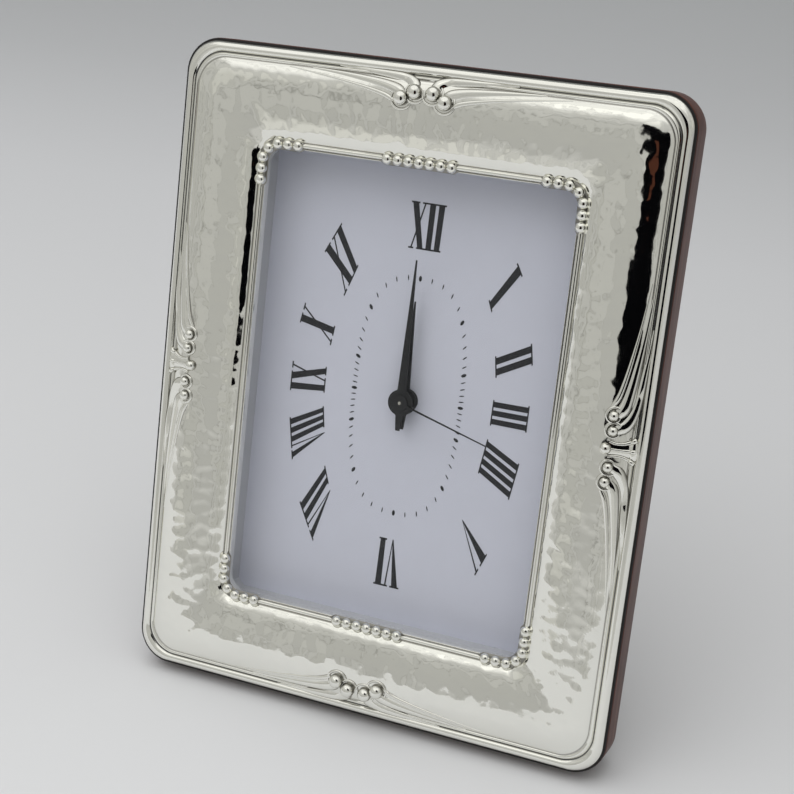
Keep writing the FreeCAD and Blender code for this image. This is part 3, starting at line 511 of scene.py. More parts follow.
@dataclass(frozen=True)
class Stance:
    """Where the leaning clock stands among the solids."""

    lean: float
    shift: Vector

    @classmethod
    def found(cls, degrees: float = 16.4, pin: Triple = (-39.5, 15.6, 33.0)) -> "Stance":
        """Works out the stance from the hinge pin.

        Args:
            degrees: how far the clock leans back.
            pin: the middle of the pin in the clock's own millimetres.

        Returns:
            The stance.
        """
        low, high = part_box("hinge_pin")
        lean = math.radians(degrees)
        turned = Matrix.Rotation(-lean, 3, "X") @ (Vector(pin) * MILLIMETRE)
        return cls(lean, (low + high) / 2 - turned)

    def matrix(self) -> Matrix:
        """From the clock's own millimetres to metres among the solids."""
        turned = Matrix.Translation(self.shift) @ Matrix.Rotation(-self.lean, 4, "X")
        return turned @ Matrix.Scale(MILLIMETRE, 4)


def flowing(points: Sequence[Sequence[float]], steps: int) -> np.ndarray:
    """Smooth curve through points.

    Args:
        points: the places that it passes.
        steps: how many pieces lie between two of them.

    Returns:
        One row for each place on the curve.
    """
    rows = np.asarray(points, float)
    padded = np.vstack([2 * rows[0] - rows[1], rows, 2 * rows[-1] - rows[-2]])
    curve = []
    for before, start, end, after in zip(padded, padded[1:], padded[2:], padded[3:]):
        for step in range(steps):
            t = step / steps
            curve.append(0.5 * (2 * start + (end - before) * t
                                + (2 * before - 5 * start + 4 * end - after) * t ** 2
                                + (3 * start - before - 3 * end + after) * t ** 3))
    return np.array(curve + [rows[-1]])


def rounded(half: Pair, radius: float, corner_steps: int,
            side_steps: tuple[int, int]) -> np.ndarray:
    """Places round a rectangle with round corners, anticlockwise from its right side.

    Args:
        half: half its width and half its height.
        radius: its corners' radius.
        corner_steps: how many steps go round a corner.
        side_steps: how many go along a level side and along an upright one.

    Returns:
        One row (x, z) for each place.
    """
    middles = np.array(((1, 1), (-1, 1), (-1, -1), (1, -1))) * (np.array(half) - radius)
    places = []
    for quarter, (middle, following) in enumerate(zip(middles, np.roll(middles, -1, axis=0))):
        turns = QUARTER * (quarter + np.arange(corner_steps + 1) / corner_steps)
        arc = middle + radius * np.column_stack([np.cos(turns), np.sin(turns)])
        walk = np.linspace(0, 1, side_steps[quarter % 2] + 1)[1:-1, None]
        places.append(np.vstack([arc, arc[-1] + walk * (following - middle)]))
    return np.vstack(places)


class Blank:
    """A mesh in the making, in the clock's own millimetres."""

    def __init__(self) -> None:
        """Starts with nothing."""
        self.points: list[Sequence[float]] = []
        self.faces: list[list[int]] = []
        self.marks: list[float] = []

    def lattice(self, grid: np.ndarray, closed: tuple[bool, bool],
                marks: Optional[np.ndarray] = None) -> list[int]:
        """Adds a net of four-sided faces.

        Args:
            grid: places by row and column.
            closed: whether the rows, and the columns, come round to the first.
            marks: a number for each place.

        Returns:
            The index of every place, row by row.
        """
        rows, columns = grid.shape[:2]
        start = len(self.points)
        self.points += grid.reshape(-1, 3).tolist()
        self.marks += (np.zeros(rows * columns) if marks is None else marks.reshape(-1)).tolist()
        for row in range(rows - (not closed[0])):
            here, there = start + row * columns, start + (row + 1) % rows * columns
            for column in range(columns - (not closed[1])):
                after = (column + 1) % columns
                self.faces.append([here + column, here + after, there + after, there + column])
        return list(range(start, len(self.points)))

    def rings(self, sections: np.ndarray, marks: Optional[np.ndarray] = None) -> None:
        """Adds closed rings that follow one another, with both ends filled.

        Args:
            sections: places by ring.
            marks: a number for each place.
        """
        places = self.lattice(sections, (False, True), marks)
        columns = sections.shape[1]
        self.faces += [places[:columns][::-1], places[-columns:]]

    def hoop(self, outlines: Sequence[np.ndarray], levels: Sequence[Any],
             marks: Optional[np.ndarray] = None) -> None:
        """Adds a ring about the clock's middle whose section closes on itself.

        Args:
            outlines: places (x, z) round the ring, for each corner of its section.
            levels: how deep each outline lies, as one number or one for each place.
            marks: a number for each place of each outline.
        """
        columns = [np.column_stack([outline[:, 0], np.broadcast_to(level, len(outline)),
                                    outline[:, 1]]) for outline, level in zip(outlines, levels)]
        self.lattice(np.stack(columns, axis=1), (True, True), marks)

    def slab(self, outline: Sequence[Pair], front: float, back: float) -> None:
        """Adds a flat plate with an outline (x, z) between two levels."""
        self.rings(np.array([[(x, level, z) for x, z in outline] for level in (back, front)]))

    def turned(self, centre: Sequence[float], profile: Sequence[Pair], sides: int, axis: int = 1,
               painted_shade: Optional[Sequence[float]] = None) -> None:
        """Adds a round piece about an axis.

        Args:
            centre: a place on the axis.
            profile: places along the axis with their radii.
            sides: how many faces go round.
            axis: 0 for X, 1 for Y, 2 for Z.
            painted_shade: a number kept on the mesh for each place of the profile, which the silver
                shows as painted shade.
        """
        turns = np.arange(sides) * 2 * math.pi / sides
        first, second = [other for other in (0, 1, 2) if other != axis]
        sections = np.zeros((len(profile), sides, 3))
        for row, (along, radius) in enumerate(profile):
            sections[row, :, axis] = along
            sections[row, :, first] = radius * np.cos(turns)
            sections[row, :, second] = radius * np.sin(turns)
        marks = None if painted_shade is None else np.repeat(np.asarray(painted_shade)[:, None], sides, axis=1)
        self.rings(sections + np.asarray(centre, float), marks)

    def cord(self, spine: np.ndarray, radii: np.ndarray, sides: int, flat: float = 1.0,
             painted_shade: float = 0.72) -> None:
        """Adds a tapering round ridge along a line on the face.

        Args:
            spine: places along its middle.
            radii: its half width at each of them.
            sides: how many faces go round.
            flat: its half height as a share of its half width.
            painted_shade: how far up its flanks painted shade reaches, 1 being its top.
        """
        forward = np.gradient(spine, axis=0)
        forward /= np.linalg.norm(forward, axis=1)[:, None]
        out = np.array([0.0, -1.0, 0.0]) - forward * -forward[:, 1][:, None]
        out /= np.linalg.norm(out, axis=1)[:, None]
        across = np.cross(forward, out)
        turns = np.arange(sides) * 2 * math.pi / sides
        sections = (spine[:, None, :]
                    + out[:, None, :] * (np.cos(turns) * flat)[None, :, None] * radii[:, None, None]
                    + across[:, None, :] * np.sin(turns)[None, :, None] * radii[:, None, None])
        # Painted shade low on the flanks, where the ridge meets the face, fading out towards its
        # top.
        edge = np.clip((painted_shade - np.cos(turns)) / SHADE_FADE, 0, 1)
        self.rings(sections, np.tile(edge, (len(spine), 1)))


class Workshop:
    """Turns blanks into finished pieces that ride on the clock's bodies."""

    def __init__(self) -> None:
        """Finds the stance and the nodes of the solids."""
        self.stance = Stance.found()
        self.nodes: dict[str, bpy.types.Object] = frame["nodes"]
        self.kept: dict[str, bpy.types.Material] = {}

    def finish(self, recipe: Any) -> bpy.types.Material:
        """The material of a finish, made once.

        Args:
            recipe: the finish.

        Returns:
            The material.
        """
        if recipe.name not in self.kept:
            self.kept[recipe.name] = recipe.made()
        return self.kept[recipe.name]

    def piece(self, name: str, shape: Union[Blank, bpy.types.Mesh], body: str, slot: str,
              recipe: Any, replaces: Sequence[str] = (), crease: float = 35.0,
              mark: str = "") -> bpy.types.Object:
        """Makes a piece.

        Args:
            name: the piece's name.
            shape: a blank in the clock's own millimetres, or a mesh in metres that is in place.
            body: what it moves with.
            slot: the name of a material slot; not used.
            recipe: its finish.
            replaces: the solids that it stands for.
            crease: edges sharper than this many degrees stay sharp.
            mark: the name under which the blank's numbers are kept.

        Returns:
            The finished object.
        """
        mesh = self._meshed(name, shape, mark) if isinstance(shape, Blank) else shape
        mesh.materials.clear()
        mesh.materials.append(self.finish(recipe))
        mesh.shade_smooth()
        mesh.set_sharp_from_angle(angle=math.radians(crease))
        made = bpy.data.objects.new(name, mesh)
        bpy.context.scene.collection.objects.link(made)
        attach(made, body)
        if replaces:
            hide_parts(*replaces)
        LOG.info("made %s with %d faces", name, len(mesh.polygons))
        return made

    def _meshed(self, name: str, blank: Blank, mark: str) -> bpy.types.Mesh:
        """Turns a blank into a mesh.

        Args:
            name: the mesh's name.
            blank: the blank.
            mark: the name under which its numbers are kept, if they are.

        Returns:
            The mesh, in place.
        """
        mesh = bpy.data.meshes.new(name)
        mesh.from_pydata(blank.points, [], blank.faces)
        if mark:
            kept = mesh.attributes.new(mark, "FLOAT", "POINT")
            kept.data.foreach_set("value", np.asarray(blank.marks, np.float32))
        mesh.transform(self.stance.matrix())
        self._mend(mesh)
        return mesh

    @staticmethod
    def _mend(mesh: bpy.types.Mesh, weld: float = 0.0) -> None:
        """Repairs a mesh.

        Args:
            mesh: the mesh.
            weld: places nearer than this are joined; with 0 the faces are turned outwards.
        """
        edited = bmesh.new()
        edited.from_mesh(mesh)
        if weld:
            bmesh.ops.remove_doubles(edited, verts=edited.verts, dist=weld)
        else:
            bmesh.ops.recalc_face_normals(edited, faces=edited.faces)
        edited.to_mesh(mesh)
        edited.free()

    def eased(self, node: str, slot: str, recipe: Any, ease: float, crease: float) -> None:
        """Stands a copy of a solid in its place, with its edges eased.

        Args:
            node: the solid.
            slot: the name of a material slot, handed on to piece.
            recipe: its finish.
            ease: width of the eased edges in millimetres.
            crease: edges sharper than this many degrees are eased.
        """
        source = self.nodes[node]
        mesh = source.data.copy()
        self._mend(mesh, weld=2e-6)
        made = self.piece(node + "_dressed", mesh, source["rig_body"], slot, recipe, (node,),
                          crease)
        softened = made.modifiers.new("eased_edges", "BEVEL")
        softened.width = ease * MILLIMETRE
        softened.segments = 2
        softened.limit_method = "ANGLE"
        softened.angle_limit = math.radians(crease)
        softened.harden_normals = False

    def dress(self, recipe: Any, *names: str) -> None:
        """Gives solids that stay as they are a finish.

        Args:
            recipe: the finish.
            names: the solids' nodes.
        """
        for name in names:
            mesh = self.nodes[name].data
            mesh.materials.clear()
            mesh.materials.append(self.finish(recipe))


class Repeater(Nodes):
    """Sets one small shape at each place of a list, through geometry nodes."""

    def __init__(self, name: str) -> None:
        """Starts a tree with a geometry in and out.

        Args:
            name: the tree's name.
        """
        super().__init__(bpy.data.node_groups.new(name, "GeometryNodeTree"))
        for way in ("INPUT", "OUTPUT"):
            self.tree.interface.new_socket("Geometry", in_out=way, socket_type="NodeSocketGeometry")
        self.inward = self.tree.nodes.new("NodeGroupInput")
        self.values: dict[str, float] = {}

    def size(self, name: str, value: float) -> bpy.types.NodeSocket:
        """Adds a named input for a size.

        Args:
            name: the input's name.
            value: its value.

        Returns:
            The socket that carries it inside the tree.
        """
        made = self.tree.interface.new_socket(name, in_out="INPUT", socket_type="NodeSocketFloat")
        self.values[made.identifier] = value
        return self.inward.outputs[name]

    def grown(self, shape: bpy.types.NodeSocket, places: Sequence[Triple],
              kept: dict[str, Sequence[Triple]]) -> bpy.types.Mesh:
        """Ends the tree and runs it.

        Args:
            shape: the small shape.
            places: where it stands, in the clock's own millimetres.
            kept: vectors for each place; "turn" and "stretch" turn and stretch the shape.

        Returns:
            The plain mesh that the tree makes.
        """
        sockets: dict[Key, Any] = {"Points": self.inward.outputs["Geometry"], "Instance": shape}
        for name, socket in (("turn", "Rotation"), ("stretch", "Scale")):
            if name in kept:
                vector = self.add("GeometryNodeInputNamedAttribute",
                                  {"data_type": "FLOAT_VECTOR"}, {"Name": name})
                sockets[socket] = vector.outputs["Attribute"]
        spread = self.add("GeometryNodeInstanceOnPoints", sockets=sockets)
        real = self.add("GeometryNodeRealizeInstances", sockets={0: spread.outputs[0]})
        self.add("NodeGroupOutput", sockets={0: real.outputs[0]})
        return self._run(places, kept)

    def _run(self, places: Sequence[Triple], kept: dict[str, Sequence[Triple]]) -> bpy.types.Mesh:
        """Runs the tree.

        Args:
            places: where the shape stands.
            kept: vectors for each place, by name.

        Returns:
            The tree's mesh.
        """
        mesh = bpy.data.meshes.new(self.tree.name)
        mesh.from_pydata(places, [], [])
        for name, vectors in kept.items():
            column = mesh.attributes.new(name, "FLOAT_VECTOR", "POINT")
            column.data.foreach_set("vector", np.asarray(vectors, np.float32).reshape(-1))
        carrier = bpy.data.objects.new(self.tree.name, mesh)
        bpy.context.scene.collection.objects.link(carrier)
        modifier = carrier.modifiers.new("repeat", "NODES")
        modifier.node_group = self.tree
        for identifier, value in self.values.items():
            modifier[identifier] = value
        reached = bpy.context.evaluated_depsgraph_get()
        result = bpy.data.meshes.new_from_object(carrier.evaluated_get(reached), depsgraph=reached)
        bpy.data.objects.remove(carrier)
        bpy.data.meshes.remove(mesh)
        return result


# --- the silver front


@dataclass
class Hammering:
    """Shallow dents of a planishing hammer on a sheet that rolls a little."""

    reach: Pair
    pitch: float = 3.2
    row_spread: float = 1.15
    scatter: float = 0.46
    depth: float = 0.04
    roll: float = 0.025
    waves: Sequence[Triple] = ((0.43, 1.3, 0.19), (0.37, 1.7, 0.23))
    seed: int = 7
    blows: Any = field(init=False)

    def __post_init__(self) -> None:
        """Strikes one blow in each cell of a loose grid."""
        chance = np.random.default_rng(self.seed)
        places = []
        for x in np.arange(-self.reach[0], self.reach[0], self.pitch):
            for z in np.arange(-self.reach[1], self.reach[1], self.pitch * self.row_spread):
                shift = chance.uniform(-self.scatter, self.scatter, 2) * self.pitch
                places.append((x + shift[0], 0.0, z + shift[1]))
        self.blows = kdtree.KDTree(len(places))
        for index, place in enumerate(places):
            self.blows.insert(place, index)
        self.blows.balance()

    def height(self, x: float, z: float) -> float:
        """Height above the plain sheet.

        Args:
            x: place across the clock.
            z: place up its face.

        Returns:
            The height in millimetres.
        """
        distance = self.blows.find((x, 0.0, z))[2]
        swell = sum(math.sin(near * run + bend * math.sin(far * sway))
                    for (run, bend, sway), near, far in zip(self.waves, (x, z), (z, x)))
        return self.depth * (distance / (0.5 * self.pitch)) ** 2 + self.roll * swell


@dataclass(frozen=True)
class Scroll:
    """Half of a scroll group; places run along the member from its middle, and in from its edge."""

    ridges: Sequence[Sequence[Pair]]
    balls: Sequence[Pair]
    ball_radius: float
    spiral_start: float
    spiral_turn: float
    spiral_radii: Pair
    spiral_half: float


@dataclass
class SilverFront:
    """Embossed silver sheet: rolled border, bombe band, rim, scrolls and beads."""

    shop: Workshop
    width: float = 147.0
    height: float = 187.0
    corner: float = 9.2
    opening_corner: float = 5.0
    band: float = 27.5
    long_steps: int = 190
    short_steps: int = 138
    corner_steps: int = 20
    # Sections, as places in from the edge with their heights.
    border: Sequence[Pair] = ((0.0, 0.0), (0.06, 0.45), (0.38, 1.15), (0.95, 1.85), (1.7, 2.15),
                              (2.4, 1.95), (2.85, 1.5), (3.0, 1.42), (3.2, 1.62), (3.5, 1.98),
                              (3.85, 2.02), (4.2, 1.8))
    arch: Sequence[Pair] = ((4.4, 1.9), (5.4, 2.5), (7.2, 3.2), (9.6, 3.66), (12.4, 3.8),
                            (15.4, 3.7), (18.4, 3.4), (21.0, 2.95), (22.9, 2.4), (24.2, 1.72),
                            (25.1, 1.1))
    rim: Sequence[Pair] = ((25.1, 1.1), (25.35, 0.84), (25.6, 0.95), (25.9, 1.16), (26.3, 1.2),
                           (26.65, 1.0), (26.88, 0.64), (27.0, 0.56), (27.15, 0.68), (27.3, 0.62),
                           (27.44, 0.3), (27.5, -0.2), (27.5, -1.8))
    hidden: Sequence[Pair] = ((26.9, -1.8), (26.9, -0.35), (24.4, -0.2), (18.0, 2.3), (14.4, 2.9),
                              (9.0, 2.3), (4.4, 1.1), (1.6, 1.3), (0.7, 0.5), (0.7, 0.0))
    # The hammered part, between two distances from the edge, and how wide its dents fade in.
    hammered: Pair = (4.4, 25.1)
    hammered_fades: Pair = (3.0, 0.8)
    # Groove lines in from the edge, darkened as tarnished silver and as painted shade, and the half
    # width of that darkening.
    grooves: Sequence[float] = (2.98, 4.35, 25.34, 26.98)
    groove_half: float = 0.16
    # Scroll groups, with the half width, the flatness and the depth of each ridge.
    short_scroll: Scroll = Scroll(
        (((2.7, 7.4), (3.8, 5.4), (6.6, 4.2), (11.0, 3.7), (17.0, 3.3), (26.0, 2.7)),
         ((6.0, 8.8), (8.2, 7.5), (12.0, 6.5), (17.0, 5.8), (24.0, 5.1), (34.0, 4.4)),
         ((8.4, 10.4), (11.0, 9.2), (15.2, 8.2), (21.0, 7.2), (29.0, 6.1), (41.0, 4.8))),
        ((2.7, 7.4), (6.4, 9.4)), 2.1, -60, 250, (2.55, 3.3), 0.42)
    long_scroll: Scroll = Scroll(
        (((5.0, 8.6), (6.8, 6.4), (10.2, 4.9), (16.0, 4.0), (24.0, 3.3), (33.0, 2.7)),
         ((9.1, 8.8), (11.6, 7.4), (16.0, 6.5), (23.0, 5.6), (31.0, 4.8), (41.0, 4.1)),
         ((11.4, 10.4), (14.2, 9.0), (19.0, 7.9), (26.0, 6.8), (34.0, 5.8), (45.0, 4.8))),
        ((5.0, 9.2), (9.1, 9.5)), 1.4, -80, 330, (2.35, 1.7), 0.55)
    ridge_shapes: Sequence[Triple] = ((1.95, 0.62, 0.3), (1.9, 0.62, 0.3), (0.75, 0.8, 0.1))
    ridge_head: Pair = (0.75, 0.12)
    ridge_tip: float = 0.16
    ball_lift: float = 0.5
    ball_foot: float = 0.3
    # Angle in radians up each ball to which painted shade reaches.
    ball_shade: float = 0.55
    spiral_steps: int = 26
    spiral_lift: float = 0.05
    # The fan on the long members: places in from the edge with their breadths, its ribs, and the
    # place, the lift and the radius of its ball.
    leaf: Sequence[Pair] = ((2.9, 1.4), (4.2, 1.05), (6.2, 0.74), (8.2, 0.7), (9.8, 0.86))
    leaf_breadth: float = 3.0
    leaf_ribs: int = 3
    rib_gap: float = 0.8
    rib_half: float = 0.2
    leaf_ball: Triple = (10.6, 0.3, 1.6)
    bead_radius: float = 1.6
    bead_pitch: float = 3.16
    bead_inset: float = 26.3
    bead_lift: float = 1.05
    bead_arc: float = 5.4
    bead_count: int = 7
    # The strips under the beads, in steps for each bead and beyond the last one.
    strip_steps: int = 4
    strip_margin: int = 3
    strip_half: float = 1.7
    strip_lift: float = 0.7
    strip_flat: float = 0.36
    strip_end: float = 0.35

    def build(self) -> None:
        """Makes the sheet, its scrolls, its bead strips and its beads."""
        self.finish = Silver("polished_silver", self.shop.stance.lean)
        self.section = np.vstack([flowing(self.border, 3), flowing(self.arch, 4)[:-1],
                                  flowing(self.rim, 3)])
        self._sheet()
        self._ornament()
        self._beads()

    def rise(self, inset: float) -> float:
        """Height of the face at a distance in from its edge."""
        return float(np.interp(inset, self.section[:, 0], self.section[:, 1]))

    def _outline(self, inset: float) -> np.ndarray:
        """Places (x, z) round the sheet.

        Args:
            inset: how far in from its edge they lie.

        Returns:
            One row for each place.
        """
        drawn = (self.opening_corner - self.corner) * min(inset, self.band) / self.band
        return rounded((self.width / 2 - inset, self.height / 2 - inset), self.corner + drawn,
                       self.corner_steps, (self.short_steps, self.long_steps))

    def _sheet(self) -> None:
        """Makes the hammered ring."""
        hammering = Hammering((self.width / 2, self.height / 2))
        start, end = self.hammered
        outlines, levels, marks = [], [], []
        for index, (inset, rise) in enumerate(np.vstack([self.section, self.hidden])):
            shown = index < len(self.section)
            outline = self._outline(inset)
            lift = np.full(len(outline), rise)
            share = 0.0
            if shown and start < inset < end:
                share = min(1.0, (inset - start) / self.hammered_fades[0],
                            (end - inset) / self.hammered_fades[1])
                lift += share * np.array([hammering.height(x, z) for x, z in outline])
            # Painted shade, with tarnished silver, along the groove lines is kept above 0; the
            # hammered share below 0.
            dark = max(math.exp(-((inset - groove) / self.groove_half) ** 2)
                       for groove in self.grooves)
            outlines.append(outline)
            levels.append(-lift)
            marks.append(np.full(len(outline), (dark - share) if shown else 0.0))
        blank = Blank()
        blank.hoop(outlines, levels, np.stack(marks, axis=1))
        self._silver("silver_sheet", blank, 70, ("silver_front",))

    def _silver(self, name: str, blank: Blank, crease: float, replaces: Sequence[str] = ()) -> None:
        """Makes a piece of silver from its blank, whose numbers are its painted shade with
        tarnished silver, and its dents.
        """
        self.shop.piece(name, blank, "frame", "silver", self.finish, replaces, crease, "groove")

    def _spot(self, side: Side, along: float, inset: float, lift: float) -> np.ndarray:
        """Place on one member.

        Args:
            side: the member.
            along: how far the place lies along it from its middle.
            inset: how far in it lies from the edge.
            lift: how far above the face it lies.

        Returns:
            The place in the clock's own millimetres.
        """
        level = -(self.rise(inset) + lift)
        if side in (Side.TOP, Side.BOTTOM):
            reach = self.height / 2 - inset
            return np.array([along, level, reach if side is Side.TOP else -reach])
        reach = self.width / 2 - inset
        return np.array([reach if side is Side.RIGHT else -reach, level, along])

    def _ridge(self, blank: Blank, side: Side, mirror: int, path: Sequence[Pair],
               shape: Triple) -> None:
        """Adds one flute that swells from its start and runs out to nothing.

        Args:
            blank: the mesh in the making.
            side: the member that it lies on.
            mirror: 1, or -1 for the other half.
            path: places along the member and in from its edge.
            shape: its half width, then its half height and the depth of its middle as shares of it.
        """
        width, flat, sink = shape
        curve = flowing(path, 8)
        run = np.linspace(0, 1, len(curve))
        head, swell = self.ridge_head
        taper = np.clip(1.25 * (1 - run), 0, 1) ** 0.8
        radii = width * (self.ridge_tip + (1 - self.ridge_tip) * taper)
        radii *= head + (1 - head) * np.clip(run / swell, 0, 1)
        spine = np.array([self._spot(side, mirror * along, inset, -sink * radius)
                          for (along, inset), radius in zip(curve, radii)])
        blank.cord(spine, radii, 16, flat)

    def _ball(self, blank: Blank, centre: np.ndarray, radius: float, steps: int,
              sides: int) -> None:
        """Adds a ball that stands out of the face, with painted shade round its foot.

        Args:
            blank: the mesh in the making.
            centre: its middle.
            radius: its radius.
            steps: how many rings it has.
            sides: how many faces go round.
        """
        rises = np.linspace(-self.ball_foot, QUARTER - 0.05, steps)
        profile = [(-radius * math.sin(rise), radius * math.cos(rise)) for rise in rises]
        # Painted shade from the foot up to a set angle, fading out above it.
        painted_shade = np.clip((self.ball_shade - rises) / SHADE_FADE, 0, 1)
        blank.turned(centre, profile, sides, painted_shade=painted_shade)

    def _spiral(self, blank: Blank, side: Side, mirror: int, ball: Pair, scroll: Scroll) -> None:
        """Adds a spiral that winds off a ball.

        Args:
            blank: the mesh in the making.
            side: the member that it lies on.
            mirror: 1, or -1 for the other half.
            ball: the ball's place along the member and in from its edge.
            scroll: the group that it belongs to.
        """
        winding = np.linspace(0, scroll.spiral_turn, self.spiral_steps)
        angles = np.radians(scroll.spiral_start + winding)
        radii = np.linspace(*scroll.spiral_radii, self.spiral_steps)
        spine = np.array([self._spot(side, mirror * (ball[0] + radius * math.cos(angle)),
                                     ball[1] + radius * math.sin(angle), self.spiral_lift)
                          for angle, radius in zip(angles, radii)])
        swell = np.sin(np.linspace(0.25, math.pi - 0.15, self.spiral_steps)) ** 0.5
        blank.cord(spine, scroll.spiral_half * swell, 8)

    def _ornament(self) -> None:
        """Makes the scroll groups of all four members."""
        blank = Blank()
        for side in Side:
            short = side in (Side.TOP, Side.BOTTOM)
            scroll = self.short_scroll if short else self.long_scroll
            for mirror in (1, -1):
                for path, shape in zip(scroll.ridges, self.ridge_shapes):
                    self._ridge(blank, side, mirror, path, shape)
                for along, inset in scroll.balls:
                    centre = self._spot(side, mirror * along, inset, self.ball_lift)
                    self._ball(blank, centre, scroll.ball_radius, 12, 28)
                    self._spiral(blank, side, mirror, (along, inset), scroll)
            if not short:
                self._fan(blank, side)
        self._silver("silver_scrolls", blank, 50)

    def _fan(self, blank: Blank, side: Side) -> None:
        """Adds the leaf between the scrolls of a long member, with its ribs and a ball.

        Args:
            blank: the mesh in the making.
            side: the member.
        """
        shape = flowing(self.leaf, 7)
        breadth = self.leaf_breadth
        spine = np.array([self._spot(side, 0.0, inset, -0.2 * share * breadth)
                          for inset, share in shape])
        blank.cord(spine, shape[:, 1] * breadth, 20, 0.36)
        for rib in range(self.leaf_ribs):
            lean = (rib - (self.leaf_ribs - 1) / 2) * self.rib_gap
            line = np.array([self._spot(side, lean * share * breadth, inset, 0.08 * share * breadth)
                             for inset, share in shape])
            blank.cord(line, self.rib_half * shape[:, 1] * breadth, 8)
        inset, lift, radius = self.leaf_ball
        self._ball(blank, self._spot(side, 0.0, inset, lift), radius, 10, 24)

    def _bead_runs(self) -> list[list[Pair]]:
        """Places (x, z) along the strips under the beads.

        Returns:
            The places of each strip: two on the short sides, then four round the corners.
        """
        half_x = self.width / 2 - self.bead_inset
        half_z = self.height / 2 - self.bead_inset
        last = self.bead_count - 1
        counted = np.arange(-self.strip_margin, self.strip_steps * last + self.strip_margin + 1)
        steps = (counted / self.strip_steps - last / 2) * self.bead_pitch
        runs = [[(step, sign * half_z) for step in steps] for sign in (1, -1)]
        half_arc = self.bead_arc * QUARTER / 2
        for sign_x, sign_z in ((1, 1), (1, -1), (-1, 1), (-1, -1)):
            run = []
            for step in steps:
                beyond = max(0.0, abs(step) - half_arc)
                turn = QUARTER / 2 * (1 + max(-1.0, min(1.0, step / half_arc)))
                x = half_x - self.bead_arc * (1 - math.cos(turn)) - (beyond if step > 0 else 0.0)
                z = half_z - self.bead_arc * (1 - math.sin(turn)) - (beyond if step < 0 else 0.0)
                run.append((sign_x * x, sign_z * z))
            runs.append(run)
        return runs

    def _beads(self) -> None:
        """Makes the beads of the rim and the raised strips that they stand on, the strips darkened
        all over as painted shade round the beads.
        """
        runs = self._bead_runs()
        blank = Blank()
        for run in runs:
            spine = np.array([(x, -self.strip_lift, z) for x, z in run])
            order = np.arange(len(run))
            ends = np.minimum(order, order[::-1]) / self.strip_margin + self.strip_end
            radii = self.strip_half * np.minimum(1.0, ends)
            # A reach of 2 marks each strip all over with painted shade, round and between the
            # beads.
            blank.cord(spine, radii, 12, self.strip_flat, painted_shade=2.0)
        self._silver("silver_bead_strips", blank, 50)
        places = [(x, -self.bead_lift, z) for run in runs
                  for x, z in run[self.strip_margin:-self.strip_margin:self.strip_steps]]
        rows = Repeater("bead_rows")
        radius = rows.size("Bead radius", self.bead_radius)
        ball = rows.add("GeometryNodeMeshUVSphere",
                        sockets={"Segments": 16, "Rings": 10, "Radius": radius})
        smooth = rows.add("GeometryNodeSetShadeSmooth", sockets={0: ball.outputs["Mesh"]})
        mesh = rows.grown(smooth.outputs[0], places, {})
        mesh.transform(self.shop.stance.matrix())
        self.shop.piece("silver_beads", mesh, "frame", "silver", self.finish, crease=60)
        LOG.info("set %d beads", len(places))


# --- wood, window and dial


@dataclass
class WoodSurround:
    """Lacquered wood ring behind the silver."""

    shop: Workshop
    width: float = 148.4
    height: float = 188.4
    depth: float = 14.0
    corner: float = 10.0
    window_corner: float = 3.0
    inner: float = 24.3
    back_radius: float = 4.5
    back_steps: int = 14
    corner_steps: int = 20
    side_steps: int = 24
    # Sections, as places in from the edge with their depths.
    front_edge: Sequence[Pair] = ((0.7, 0.0), (0.4, 0.06), (0.15, 0.24), (0.03, 0.5), (0.0, 0.8))
    # The second section is a thin black ring: a painted shadow in the gap between the silver and
    # the wood.
    shadow_line_section: Sequence[Pair] = ((0.9, -0.4), (0.35, -0.4), (0.2, -0.3), (0.14, -0.1),
                                    (0.14, 0.08), (0.9, 0.08))

    def build(self) -> None:
        """Makes the ring and the painted shadow line between it and the silver."""
        radius = self.back_radius
        section = [(self.inner, 0.0), *self.front_edge]
        section += [(radius * (1 - math.cos(turn)), self.depth - radius * (1 - math.sin(turn)))
                    for turn in np.linspace(0, QUARTER, self.back_steps)]
        section.append((self.inner, self.depth))
        wood = Lacquered("dark_lacquered_wood", self.shop.stance.lean, Grain.FRAMED)
        self._ring("wood_surround", section, wood, ("wood_frame",), "across")
        # A near-black ring laid in as painted shadow in the gap between silver and wood.
        painted_shade = Enamel("edge_stain", (0.006, 0.005, 0.005), 0.7)
        self._ring("dark_edge_line", self.shadow_line_section, painted_shade)

    def _ring(self, name: str, section: Sequence[Pair], recipe: Any,
              replaces: Sequence[str] = (), mark: str = "") -> None:
        """Makes a ring from its section.

        Args:
            name: the piece's name.
            section: places in from the edge with their depths.
            recipe: its finish.
            replaces: the solids that it stands for.
            mark: the name of the mark that tells its members apart.
        """
        outlines = [self._outline(inset) for inset, _ in section]
        blank = Blank()
        blank.hoop(outlines, [level for _, level in section],
                   np.repeat(self._members()[:, None], len(section), axis=1))
        self.shop.piece(name, blank, "frame", "dark_wood", recipe, replaces, 40, mark)

    def _outline(self, inset: float) -> np.ndarray:
        """Places (x, z) round the ring.

        Args:
            inset: how far in from its edge they lie.

        Returns:
            One row for each place.
        """
        return rounded((self.width / 2 - inset, self.height / 2 - inset),
                       max(self.corner - inset, self.window_corner), self.corner_steps,
                       (self.side_steps, self.side_steps))

    def _members(self) -> np.ndarray:
        """Tells the level members from the upright ones.

        Returns:
            For each place of an outline, 1 on a level member and 0 on an upright one.
        """
        marks: list[float] = []
        for level in (1.0, 0.0, 1.0, 0.0):
            marks += [level if step > self.corner_steps / 2 else 1.0 - level
                      for step in range(self.corner_steps + 1)]
            marks += [level] * (self.side_steps - 1)
        return np.array(marks)


